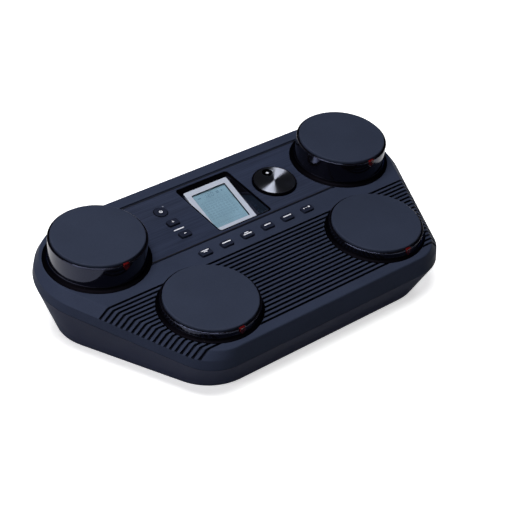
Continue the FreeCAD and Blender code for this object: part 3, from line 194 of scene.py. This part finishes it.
class Shader(Nodes):
    """A material's node tree."""

    def __init__(self, name, **sockets):
        self.material = bpy.data.materials.new(name)
        self.material.use_nodes = True
        super().__init__(self.material.node_tree)
        self.bsdf = self.tree.nodes["Principled BSDF"]
        self.set(**sockets)

    def set(self, **sockets):
        """Sets or links sockets of the main shader, named with _ for each space."""
        for name, value in sockets.items():
            self.feed(self.bsdf.inputs[name.replace("_", " ")], value)

    def place(self, stretch=(1, 1, 1), lean=0.0):
        """The object's own coordinates in metres, turned about X and stretched."""
        source = self.here()
        if lean:
            source = self.add("Mapping", {"Vector": source, "Rotation": (-lean, 0, 0)}).outputs[0]
        return self.add("Mapping", {"Vector": source, "Scale": stretch}).outputs[0]

    def noise(self, size, stretch=(1, 1, 1), detail=2.0, lean=0.0):
        """Soft noise with features about size metres across."""
        where = self.place(stretch, lean)
        return self.add("TexNoise", {"Vector": where, "Scale": 1 / size, "Detail": detail}).outputs[0]

    def specks(self, size, share):
        """Small round specks, 1 inside and 0 outside, on a share of the cells."""
        cells = self.add("TexVoronoi", {"Vector": self.place(), "Scale": 1 / size}, feature="F1")
        near = self.span(cells.outputs["Distance"], SPECK_R + SPECK_EDGE, SPECK_R, 0, 1)
        pick = self.add("SeparateColor", {0: cells.outputs["Color"]}).outputs[0]
        return self.maths("MULTIPLY", near, self.span(pick, share, share * 0.9, 0, 1))

    def soft_edges(self, radius):
        """The surface's direction, turned smoothly across edges within a radius."""
        return self.add("Bevel", {"Radius": radius}, samples=PROBE_RAYS).outputs[0]

    def bump(self, height, depth, edge=0.0):
        """A bump whose full height is depth metres, over edges softened to a radius."""
        node = self.add("Bump", {"Height": height, "Distance": depth, "Strength": 1.0})
        if edge:
            self.feed(node.inputs["Normal"], self.soft_edges(edge))
        self.set(Normal=node.outputs[0])

    def facing(self, place):
        """How squarely the surface faces along a frame's Z axis, 1 at most."""
        return self.measure("DOT_PRODUCT", self.add("NewGeometry").outputs["Normal"], place.col[2].to_3d())

    def deck_height(self):
        """The height above the deck's surface, in metres."""
        up = DECK.col[2].to_3d()
        rise = self.measure("DOT_PRODUCT", self.here(), up)
        return self.maths("SUBTRACT", rise, up.dot(DECK.translation))

    def groove_shade_share(self):
        """The share of painted shade: 1 deep in grooves and on floors sunk below the deck, and 0 in the open."""
        reach = {"Distance": GROOVE_REACH}
        node = self.add("AmbientOcclusion", reach, samples=PROBE_RAYS, only_local=True)
        shut_in = self.span(node.outputs["AO"], GROOVE_SHUT, GROOVE_OPEN, 1, 0)
        level = self.span(self.facing(DECK), LEVEL_FROM, LEVEL_FULL, 0, 1)
        sunk = self.span(self.deck_height(), -SUNK_DEPTH, -SUNK_DEPTH - EDGE_BLEND, 0, 1)
        return self.maths("MAXIMUM", shut_in, self.maths("MULTIPLY", level, sunk))


def rgb(red, green, blue):
    """A colour written as 0 to 255 display values, as the shader wants it."""
    def linear(value):
        share = value / 255
        return share / 12.92 if share <= 0.04045 else ((share + 0.055) / 1.055) ** 2.4
    return (linear(red), linear(green), linear(blue), 1.0)


def shade(colour, factor):
    """A colour made darker or lighter by a factor."""
    return tuple(c * factor for c in colour[:3]) + (1.0,)


# Materials

DECK_COLOUR = rgb(46, 52, 69)
PANEL_COLOUR = rgb(43, 49, 67)
BASE_COLOUR = rgb(45, 49, 66)
RUBBER_COLOUR = rgb(44, 50, 66)
DUST_COLOUR = rgb(120, 120, 125)
# Painted shade on the display frame's inner walls
INNER_WALL_SHADE = rgb(20, 32, 48)
# Painted shade in the dial's finger dimple
DIMPLE_SHADE = rgb(10, 11, 16)
MOULD_GRAIN = 0.35 * MM
MOULD_DEPTH = 0.01 * MM
# Painted shade in grooves and on sunk floors, as a share of the plastic's colour
GROOVE_SHADE = 0.12
GROOVE_EDGE = 0.35 * MM
TRACK_SCALE = 160.0
GLOSS_TINT = (0.55, 0.62, 1.0, 1.0)
GLOSS_EDGE = 2.0 * MM
GLOSS_ROUGHNESS = 0.06
DUST_CELL = 2.2 * MM
DUST_SHARE = 0.1
DUST_STRENGTH = 0.08
# The pad housings are dull from this far above the deck to this far below it
FLARE_RISE = 3.3 * MM
FLARE_BLEND = 1.0 * MM
FLARE_SINK = 1.3 * MM
FLARE_ROUGHNESS = 0.5


def moulded_plastic(name, colour, roughness, grooved=False):
    """Satin moulded plastic: fine spark grain and faint flow marks; painted shade in grooves."""
    s = Shader(name, IOR=1.49, Specular_IOR_Level=0.02)
    flow = s.noise(0.045, detail=3.0)
    fine = s.noise(MOULD_GRAIN * 3, detail=3.0)
    tone = s.tones(s.spread(flow), colour, 0.92, 1.06)
    body = s.mix(s.span(fine, 0.35, 0.65, 0, 0.35), tone, shade(colour, 1.25))
    # Painted shade: grooves and sunk floors are darkened by how shut in they are
    if grooved:
        body = s.mix(s.groove_shade_share(), body, shade(colour, GROOVE_SHADE))
    s.set(Base_Color=body)
    s.set(Roughness=s.spread(flow, roughness - 0.04, roughness + 0.05))
    s.bump(s.noise(MOULD_GRAIN), MOULD_DEPTH, GROOVE_EDGE if grooved else 0.0)
    return s.material


def brushed_panel(name, colour):
    """A brushed dark film: fine lines that run left to right."""
    s = Shader(name, IOR=1.5, Anisotropic=0.5, Specular_IOR_Level=0.1)
    lines = s.noise(0.0011, (0.012, 1, 1), 3.0, DECK_LEAN)
    fine = s.noise(0.0004, (0.01, 1, 1), lean=DECK_LEAN)
    both = s.maths("ADD", s.maths("MULTIPLY", lines, 0.6), s.maths("MULTIPLY", fine, 0.4))
    s.set(Base_Color=s.tones(s.span(both, 0.38, 0.62, 0, 1), colour, 0.78, 1.25))
    s.set(Roughness=s.span(both, 0.35, 0.65, 0.34, 0.5))
    s.bump(both, 0.000012)
    return s.material


def gloss_plastic(name, colour):
    """Polished plastic with faint smears and dust, dull and dead black on the flares by the deck."""
    s = Shader(name, IOR=1.5, Specular_IOR_Level=0.5, Specular_Tint=GLOSS_TINT)
    smear = s.noise(0.02, (1, 1, 0.4), 3.0)
    dust = s.maths("MULTIPLY", s.specks(DUST_CELL, DUST_SHARE), DUST_STRENGTH)
    s.set(Base_Color=s.mix(dust, colour, DUST_COLOUR))
    height = s.deck_height()
    below_rim = s.span(height, FLARE_RISE, FLARE_RISE + FLARE_BLEND, 1, 0)
    above_seat = s.span(height, -FLARE_SINK - EDGE_BLEND, -FLARE_SINK, 0, 1)
    flare = s.maths("MULTIPLY", below_rim, above_seat)
    shine = s.span(smear, 0.4, 0.75, GLOSS_ROUGHNESS, GLOSS_ROUGHNESS + 0.06)
    s.set(Roughness=s.maths("ADD", s.maths("MULTIPLY", flare, FLARE_ROUGHNESS), shine))
    s.set(Metallic=flare, Normal=s.soft_edges(GLOSS_EDGE))
    return s.material


def pad_rubber(name, colour):
    """Dull rubber with a very fine moulded grain and dust in it."""
    s = Shader(name, IOR=1.5, Specular_IOR_Level=0.08)
    cloud = s.noise(0.03, detail=4.0)
    fine = s.noise(0.0012, detail=3.0)
    tone = s.tones(s.spread(cloud), colour, 0.94, 1.05)
    s.set(Base_Color=s.mix(s.span(fine, 0.4, 0.7, 0, 0.3), tone, shade(colour, 1.3)))
    s.set(Roughness=s.spread(cloud, 0.6, 0.7))
    s.bump(s.noise(0.0005), 0.000012)
    return s.material


def silver_paint(name, colour):
    """Satin silver paint on plastic, with painted shade on the inner walls that face sideways."""
    s = Shader(name, Metallic=0.2, IOR=1.5)
    flake = s.noise(0.0003, detail=1.0)
    silver = s.tones(s.spread(flake), colour, 0.9, 1.08)
    # The frame's inner walls get painted shade instead of silver
    silver_share = s.span(s.facing(DISPLAY), 0.2, 0.5, 0, 1)
    s.set(Base_Color=s.mix(silver_share, INNER_WALL_SHADE, silver))
    s.set(Roughness=s.spread(s.noise(0.01), 0.36, 0.46))
    s.bump(flake, 0.000004)
    return s.material


def clear_window(name):
    """Thin clear acrylic with the faintest haze."""
    s = Shader(name, IOR=1.49, Alpha=0.1)
    haze = s.noise(0.02, detail=3.0)
    s.set(Base_Color=s.mix(haze, rgb(120, 140, 150), rgb(135, 155, 165)))
    s.set(Roughness=s.spread(haze, 0.02, 0.06))
    return s.material


def display_glass(name, colour):
    """A reflective display, switched off: soft grey-blue with a fine cell pattern."""
    s = Shader(name, IOR=1.5)
    cloud = s.noise(0.02, detail=3.0)
    cells = s.noise(0.0007, detail=1.0)
    tone = s.tones(s.spread(cloud), colour, 0.9, 1.08)
    s.set(Base_Color=s.mix(s.span(cells, 0.4, 0.7, 0, 0.4), tone, shade(colour, 0.85)))
    s.set(Roughness=s.spread(cloud, 0.3, 0.4))
    return s.material


def spun_metal(name, colour):
    """Bright metal turned on a lathe, so that it shines in two opposite fans; painted shade in the dimple."""
    s = Shader(name, Metallic=0.992, Anisotropic=1.0, Anisotropic_Rotation=0.25)
    s.feed(s.bsdf.inputs["Tangent"], s.add("Tangent", direction_type="RADIAL", axis="Z").outputs[0])
    ripple = s.noise(0.0005, detail=1.0)
    # The dimple gets painted shade in place of the metal
    away = s.measure("DISTANCE", s.here(), dimple_frame().to_translation())
    in_dimple = s.span(away, DIMPLE_R - DIMPLE_EDGE, DIMPLE_R, 1, 0)
    s.set(Base_Color=s.mix(in_dimple, s.tones(ripple, colour, 0.9, 1.1), DIMPLE_SHADE))
    s.set(Roughness=s.spread(ripple, 0.28, 0.32))
    return s.material


def plain_metal(name, colour, roughness):
    """Plated or drawn metal with fine tool lines and dull patches."""
    s = Shader(name, Metallic=1.0)
    lines = s.noise(0.0006, (1, 1, 0.2))
    s.set(Base_Color=s.tones(lines, colour, 0.85, 1.1))
    s.set(Roughness=s.spread(s.noise(0.006, detail=3.0), roughness - 0.06, roughness + 0.1))
    s.bump(lines, 0.000005)
    return s.material


def soft_material(name, colour, size, roughness, depth):
    """Paper, foam or foot rubber: a matt body with fibres or cells of one size."""
    s = Shader(name, IOR=1.45)
    cells = s.noise(size, detail=4.0)
    s.set(Base_Color=s.tones(s.spread(cells), colour, 0.7, 1.3))
    s.set(Roughness=s.spread(cells, roughness, min(roughness + 0.1, 1.0)))
    s.bump(cells, depth)
    return s.material


def circuit_board(name):
    """Green solder mask with faint straight tracks under it."""
    s = Shader(name, IOR=1.5)
    inputs = {"Vector": s.place(), "Scale": TRACK_SCALE, "Distortion": 0.0}
    wave = s.add("TexWave", inputs, bands_direction="X")
    tracks = s.span(wave.outputs[0], 0.6, 0.7, 0, 1)
    breaks = s.span(s.noise(0.012, (1, 0.2, 1), 0.0), 0.5, 0.52, 0, 1)
    mask = s.maths("MULTIPLY", tracks, breaks)
    s.set(Base_Color=s.mix(mask, rgb(16, 66, 40), rgb(30, 92, 56)))
    s.set(Roughness=s.spread(s.noise(0.004), 0.25, 0.35))
    s.bump(mask, 0.00003)
    return s.material


def lamp_red(name):
    """Clear red plastic, unlit."""
    s = Shader(name, IOR=1.49, Transmission_Weight=0.35)
    depth = s.noise(0.002)
    s.set(Base_Color=s.mix(depth, rgb(76, 10, 13), rgb(110, 17, 19)))
    s.set(Roughness=s.spread(depth, 0.12, 0.2))
    return s.material


def milky_plastic(name, colour):
    """Cloudy plastic of an unlit indicator."""
    s = Shader(name, IOR=1.49)
    cloud = s.noise(0.001)
    s.set(Base_Color=s.tones(cloud, colour, 0.85, 1.1))
    s.set(Roughness=s.spread(cloud, 0.25, 0.35))
    return s.material


def white_ink(name):
    """Screen-printed white ink, slightly uneven."""
    s = Shader(name, IOR=1.45)
    film = s.noise(0.0006)
    s.set(Base_Color=s.mix(s.spread(film), rgb(205, 207, 218), rgb(235, 236, 243)))
    s.set(Roughness=s.spread(film, 0.45, 0.6))
    return s.material


def dark_ink(name, colour):
    """Printed ink of one colour, or segments of the display: an even matt film."""
    s = Shader(name, IOR=1.45)
    film = s.noise(0.001)
    s.set(Base_Color=s.tones(film, colour, 0.92, 1.08))
    s.set(Roughness=s.spread(film, 0.4, 0.5))
    return s.material


LIBRARY = {
    "deck_plastic": moulded_plastic("deck_plastic", DECK_COLOUR, 0.45, grooved=True),
    "base_plastic": moulded_plastic("base_plastic", BASE_COLOUR, 0.5),
    "panel_film": brushed_panel("panel_film", PANEL_COLOUR),
    "gloss_black": gloss_plastic("gloss_black", rgb(9, 8, 12)),
    "silver_trim": silver_paint("silver_trim", rgb(198, 205, 221)),
    "clear_window": clear_window("clear_window"),
    "display_glass": display_glass("display_glass", rgb(138, 174, 195)),
    "spun_metal": spun_metal("spun_metal", rgb(222, 228, 246)),
    "steel": plain_metal("steel", rgb(150, 150, 155), 0.35),
    "inner_black": moulded_plastic("inner_black", rgb(18, 18, 21), 0.4),
    "circuit_board": circuit_board("circuit_board"),
    "bright_metal": plain_metal("bright_metal", rgb(205, 205, 208), 0.25),
    "painted_steel": moulded_plastic("painted_steel", rgb(22, 22, 24), 0.35),
    "cone_paper": soft_material("cone_paper", rgb(34, 32, 30), 0.0012, 0.8, 0.00004),
    "foot_rubber": soft_material("foot_rubber", rgb(28, 28, 31), 0.0008, 0.7, 0.00003),
    "foam": soft_material("foam", rgb(52, 52, 56), 0.0009, 0.85, 0.0001),
    "button_plastic": moulded_plastic("button_plastic", rgb(32, 36, 50), 0.4),
    "pad_rubber": pad_rubber("pad_rubber", RUBBER_COLOUR),
    "brass": plain_metal("brass", rgb(200, 160, 85), 0.3),
    "lamp_red": lamp_red("lamp_red"),
}


def dress_nodes():
    """Gives every CAD node the material of its slot."""
    for part in frame["record"]["subparts"]:
        slots = nodes[part["node"]].data.materials
        for i in range(len(slots)):
            slots[i] = LIBRARY[part["material_slot"]]


# Camera, floor, world and lamps

PHOTO_PLACE = Vector((-0.7606, -0.9052, 0.8791))
PHOTO_FORWARD = Vector((0.5254, 0.6237, -0.5787))
PHOTO_ROLL = math.radians(2.0433)
PHOTO_LENS = 99.64
PHOTO_SENSOR = 36.0
FLOOR_HALF = 12.0
FLOOR_AS_LIGHT = (0.12, 0.12, 0.13, 1.0)
# The floor's glow near the part, and the distances in metres between which it rises to 1
FLOOR_GLOW = 0.6
GLOW_NEAR = 0.5
GLOW_FAR = 1.5
WORLD_COLOUR = (0.72, 0.8, 1.0, 1.0)
WORLD_FILL = 0.006
# The world in reflections: its glow at the horizon and high up, and where one fades to the other
WORLD_HORIZON = 0.05
WORLD_CEILING = 0.002
HORIZON_TOP = 0.02
CEILING_FOOT = 0.3
NEUTRAL_LIGHT = (1.0, 1.0, 1.0)
SIDE_LIGHT = (0.96, 0.95, 1.0)
# Name, place, target, width and height, watts, colour, and whether the camera and gloss see it
LAMPS = (
    ("overhead", (-0.4, -0.18, 1.62), (-0.05, 0, 0), (1.1, 0.5), 26, NEUTRAL_LIGHT, True),
    ("left_side", (-1.88, -0.05, 0.6), (0, 0, 0.03), (1.2, 0.9), 15, SIDE_LIGHT, True),
    ("back_fill", (1.4, 1.45, 0.45), (0, 0, 0.03), (0.9, 0.6), 28, SIDE_LIGHT, False),
    ("under_fill", (0, 0, -0.4), (0, 0, 0), (0.3, 0.15), 1.4, NEUTRAL_LIGHT, False),
)


def add_object(name, data):
    """A new object in the scene."""
    made = bpy.data.objects.new(name, data)
    bpy.context.scene.collection.objects.link(made)
    return made


def make_camera():
    """The camera with the photo's place, direction, roll and lens."""
    forward = PHOTO_FORWARD.normalized()
    level = forward.cross(Vector((0, 0, 1))).normalized()
    up = level.cross(forward)
    right = math.cos(PHOTO_ROLL) * level + math.sin(PHOTO_ROLL) * up
    top = right.cross(forward)
    turn = Matrix((right, top, -forward)).transposed().to_4x4()
    data = bpy.data.cameras.new("photo_camera")
    data.lens = PHOTO_LENS
    data.sensor_width = PHOTO_SENSOR
    data.clip_start = 0.05
    data.clip_end = 50
    camera = add_object("photo_camera", data)
    camera.matrix_world = Matrix.Translation(PHOTO_PLACE) @ turn
    bpy.context.scene.camera = camera


def floor_material():
    """A pale floor, clear from below and to the lamp under it: white to the camera, dull as a light."""
    s = Shader("floor", Roughness=0.9, Specular_IOR_Level=0.0)
    path = s.add("LightPath").outputs
    direct = s.maths("MAXIMUM", path["Is Camera Ray"], path["Is Transmission Ray"])
    seen = s.maths("MAXIMUM", direct, path["Is Glossy Ray"])
    glow = s.span(s.measure("LENGTH", s.here()), GLOW_NEAR, GLOW_FAR, FLOOR_GLOW, 1.0)
    s.set(Base_Color=s.mix(seen, FLOOR_AS_LIGHT, WHITE))
    s.set(Emission_Color=WHITE, Emission_Strength=s.maths("MULTIPLY", direct, glow))
    below = s.add("NewGeometry").outputs["Backfacing"]
    clear = s.maths("MAXIMUM", below, path["Is Shadow Ray"])
    both = s.add("MixShader", {0: clear, 1: s.bsdf.outputs[0], 2: s.add("BsdfTransparent").outputs[0]})
    s.feed(s.tree.nodes["Material Output"].inputs["Surface"], both.outputs[0])
    return s.material


def make_floor():
    """A wide level square under the feet, for the scene only."""
    mesh = bpy.data.meshes.new("floor")
    work = bmesh.new()
    corners = [(x * FLOOR_HALF, y * FLOOR_HALF, 0) for x, y in ((-1, -1), (1, -1), (1, 1), (-1, 1))]
    work.faces.new([work.verts.new(c) for c in corners])
    work.to_mesh(mesh)
    work.free()
    mesh.materials.append(floor_material())
    floor = add_object("floor", mesh)


def make_world():
    """White to the camera and through glass; a cool glow low down in reflections; a faint fill."""
    world = bpy.data.worlds.new("studio")
    world.use_nodes = True
    n = Nodes(world.node_tree)
    path = n.add("LightPath").outputs
    height = n.add("SeparateXYZ", {0: n.add("TexCoord").outputs["Generated"]}).outputs["Z"]
    glow = n.span(height, HORIZON_TOP, CEILING_FOOT, WORLD_HORIZON, WORLD_CEILING)
    level = n.span(path["Is Glossy Ray"], 0, 1, WORLD_FILL, glow)
    seen = n.maths("MAXIMUM", path["Is Camera Ray"], path["Is Transmission Ray"])
    background = n.tree.nodes["Background"]
    n.feed(background.inputs["Strength"], n.span(seen, 0, 1, level, 1.0))
    n.feed(background.inputs["Color"], n.mix(seen, WORLD_COLOUR, WHITE))
    bpy.context.scene.world = world


def area_lamp(name, place, target, size, watts, colour, seen):
    """A rectangular lamp at a place, aimed at a target."""
    data = bpy.data.lights.new(name, "AREA")
    data.shape = "RECTANGLE"
    data.size, data.size_y = size
    data.energy = watts
    data.color = colour
    lamp = add_object(name, data)
    lamp.location = place
    lamp.rotation_euler = (Vector(target) - Vector(place)).to_track_quat("-Z", "Y").to_euler()
    lamp.visible_camera = seen
    lamp.visible_glossy = seen


def make_lamps():
    """A long softbox overhead out to the left, a low one at the left, and weak ones behind and below."""
    for lamp in LAMPS:
        area_lamp(*lamp)


# Printed marks, small raised details, a painted seam shade and a painted highlight, all in millimetres

INK_THICK = 0.04
# A bar's corner radius as a share of half its thickness, and the steps in curved outlines
BAR_ROUNDING = 0.6
CORNER_STEPS = 4
DISC_STEPS = 32
BAND_STEPS = 28
# The painted shade along the panel's seams, its width and corner radius; a corner this near an edge of the panel
# counts as on it
SEAM_SHADE_WIDTH = 1.5
SEAM_SHADE_CORNER = 0.1
ON_EDGE = 0.1
# How far behind the deck's middle the dial sits
DIAL_V = 60.2
VALUE_LABEL = (-63.4, 50.7)
VALUE_LABEL_SIZE = (12.6, 1.5)
POWER_LAMP = (-56.3, 88.6)
POWER_LAMP_R = 0.85
POWER_LAMP_HEIGHT = 0.25
# A painted highlight in the dial's dimple: its radius and height
DIAL_HIGHLIGHT_R = 1.5
DIAL_HIGHLIGHT_HEIGHT = 0.12
# A figure of the display: its size, its stroke as a share of its height, and the gap in strokes
FIGURE_SIZE = (2.6, 4.6)
FIGURE_STROKE = 0.13
FIGURE_GAP = 1.3
# The row of the number, from the display's middle, and where each figure stands and what it lights
TOP_ROW = 18.0
FIGURES = ((-6.5, "bc"), (-2.0, "abged"), (2.5, "abcdef"))
# Small signs beside the number, and the line at the bottom, as x, y, width and height
SIGNS = ((9.5, 18.9, 3.4, 0.9), (9.5, 17.2, 3.4, 0.9), (-14.0, 18.0, 4.2, 0.9))
SIGN_DOT = (15.0, 18.0, 0.9)
BOTTOM_LINE = (-1.0, -17.6, 34.0, 0.7)
# The field of short bars: how many each way, where the first is, their pitch and size
CELLS = 8
CELL_FIRST = (-15.4, 11.0)
CELL_PITCH = (4.4, -3.1)
CELL_SIZE = (3.1, 1.7)


def outline_piece(name, outlines, thick, place, material, body):
    """Flat printed shapes: each outline is a closed loop of points in millimetres in the frame place."""
    mesh = bpy.data.meshes.new(name)
    work = bmesh.new()
    for outline in outlines:
        low = [work.verts.new((x, y, 0)) for x, y in outline]
        high = [work.verts.new((x, y, thick)) for x, y in outline]
        work.faces.new(high)
        work.faces.new(low[::-1])
        for i in range(len(low)):
            j = (i + 1) % len(low)
            work.faces.new((low[i], low[j], high[j], high[i]))
    work.transform(place @ Matrix.Scale(MM, 4))
    bmesh.ops.recalc_face_normals(work, faces=work.faces)
    work.to_mesh(mesh)
    work.free()
    mesh.materials.append(material)
    piece = add_object(name, mesh)
    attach(piece, body)


def arc(x, y, radius, start, sweep, steps):
    """Points along an arc, from an angle start round by sweep degrees, both ends included."""
    angles = [math.radians(start + sweep * i / steps) for i in range(steps + 1)]
    return [(x + radius * math.cos(angle), y + radius * math.sin(angle)) for angle in angles]


def bar(x, y, width, height, radius=None):
    """A bar with rounded corners, centred at x, y."""
    radius = min(width, height) / 2 * BAR_ROUNDING if radius is None else radius
    points = []
    for side_x, side_y, start in ((1, 1, 0), (-1, 1, 90), (-1, -1, 180), (1, -1, 270)):
        centre_x = x + side_x * (width / 2 - radius)
        centre_y = y + side_y * (height / 2 - radius)
        points += arc(centre_x, centre_y, radius, start, 90, CORNER_STEPS)
    return points


def disc(x, y, radius):
    """A round outline."""
    return arc(x, y, radius, 0, 360, DISC_STEPS)[:-1]


def arc_band(x, y, radius, width, start, sweep):
    """Part of a ring, from an angle start round by sweep degrees."""
    outer = arc(x, y, radius + width / 2, start, sweep, BAND_STEPS)
    inner = arc(x, y, radius - width / 2, start, sweep, BAND_STEPS)
    return outer + inner[::-1]


def on_panel(spot):
    """A frame on the panel's top at a spot given in millimetres from the deck's middle."""
    panel = box_in("control_panel", DECK)
    dial = middle(box_in("data_dial", DECK))
    return on_deck(spot[0] * MM + middle(panel).x, (spot[1] - DIAL_V) * MM + dial.y, panel[1].z)


def button_marks(ink):
    """White marks on the buttons: plain bars, signs and the usual start and stop signs."""
    shapes = {
        "power_button": [arc_band(0, 0, 1.5, 1.0, 120, 300), bar(0, 1.2, 0.9, 2.2)],
        "plus_button": [bar(0, 0, 2.5, 0.8), bar(0, 0, 0.8, 2.5)],
        "minus_button": [bar(0, 0, 2.8, 0.9)],
        "function_button_1": [bar(0, 1.9, 9.4, 1.2), bar(-0.4, 0.1, 4.4, 1.2)],
        "function_button_2": [bar(0, 0.9, 10.4, 1.3)],
        "function_button_3": [bar(-0.2, 2.0, 5.2, 1.2), bar(0, -0.1, 10.2, 1.3)],
        "function_button_4": [bar(0, 0.8, 8.0, 1.3)],
        "function_button_5": [bar(0, 0.9, 10.2, 1.3)],
        "function_button_6": [[(-4.4, -0.4), (-2.6, 0.8), (-4.4, 2.0)], bar(-0.4, 0.8, 2.4, 0.6),
                              disc(2.9, 0.8, 1.2)],
    }
    for button, outlines in shapes.items():
        outline_piece(button + "_mark", outlines, INK_THICK, top_of(button), ink, button)


def value_label(ink):
    """A plain bar between the two value buttons, where the panel names what they change."""
    outline_piece("value_label", [bar(0, 0, *VALUE_LABEL_SIZE)], INK_THICK, on_panel(VALUE_LABEL), ink,
                  "housing")


def panel_seam_shade(ink):
    """A dark line along the panel's front and back edges: painted shade that widens the shade of the seams."""
    low, high = box_in("control_panel", DECK)
    points = [p / MM for p in points_in("control_panel", DECK)]
    lines = []
    for edge, inward in ((low.y / MM, 1), (high.y / MM, -1)):
        ends = [p.x for p in points if abs(p.y - edge) < ON_EDGE]
        across = (min(ends) + max(ends)) / 2
        lines.append(bar(across, edge + inward * SEAM_SHADE_WIDTH / 2, max(ends) - min(ends), SEAM_SHADE_WIDTH,
                         SEAM_SHADE_CORNER))
    outline_piece("panel_seam_shade", lines, INK_THICK, on_deck(0, 0, high.z), ink, "housing")


def power_lamp(material):
    """A small round indicator, unlit, behind and to the right of the power button."""
    outline_piece("power_lamp", [disc(0, 0, POWER_LAMP_R)], POWER_LAMP_HEIGHT, on_panel(POWER_LAMP),
                  material, "housing")


def dial_highlight(ink):
    """A pale dot in the bottom of the dial's finger dimple: a painted highlight in place of the dimple's glint."""
    place = dimple_frame() @ Matrix.Translation((0, 0, -DIMPLE_DEPTH))
    outline_piece("dial_highlight", [disc(0, 0, DIAL_HIGHLIGHT_R)], DIAL_HIGHLIGHT_HEIGHT, place, ink, "dial")


def digit(x, y, width, height, lit):
    """A seven-segment figure; lit names its segments, a to g in the usual order."""
    thick = height * FIGURE_STROKE
    half = height / 2
    across = width - thick * FIGURE_GAP
    down = half - thick * FIGURE_GAP
    segments = {"a": (0, half, across, thick), "g": (0, 0, across, thick), "d": (0, -half, across, thick),
                "f": (-width / 2, half / 2, thick, down), "b": (width / 2, half / 2, thick, down),
                "e": (-width / 2, -half / 2, thick, down), "c": (width / 2, -half / 2, thick, down)}
    return [bar(x + right, y + up, *size) for right, up, *size in (segments[k] for k in lit)]


def display_figures(ink, faint_ink):
    """A plain number, small signs and columns of short bars, faint because the display is off."""
    place = DISPLAY @ Matrix.Translation((0, 0, box_in("lcd_module", DISPLAY)[1].z))
    number = [stroke for x, lit in FIGURES for stroke in digit(x, TOP_ROW, *FIGURE_SIZE, lit)]
    number += [bar(*sign) for sign in SIGNS] + [disc(*SIGN_DOT)]
    outline_piece("display_number", number, INK_THICK, place, ink, "housing")
    bars = [bar(CELL_FIRST[0] + CELL_PITCH[0] * i, CELL_FIRST[1] + CELL_PITCH[1] * k, *CELL_SIZE)
            for i in range(CELLS) for k in range(CELLS)]
    bars += [bar(*BOTTOM_LINE)]
    outline_piece("display_bars", bars, INK_THICK, place, faint_ink, "housing")


# Making the scene


def main():
    """Dresses the part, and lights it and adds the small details."""
    bpy.context.scene.view_settings.view_transform = "Standard"
    dress_nodes()
    make_camera()
    make_floor()
    make_world()
    make_lamps()
    ink = white_ink("white_ink")
    button_marks(ink)
    value_label(ink)
    # Painted shade along the panel's seams
    panel_seam_shade(dark_ink("seam_shade_ink", rgb(13, 14, 22)))
    # A painted highlight in the dial's dimple
    dial_highlight(ink)
    power_lamp(milky_plastic("milky_plastic", rgb(118, 122, 136)))
    figures = dark_ink("display_ink", rgb(84, 118, 142))
    display_figures(figures, dark_ink("display_ghost", rgb(124, 158, 178)))


main()
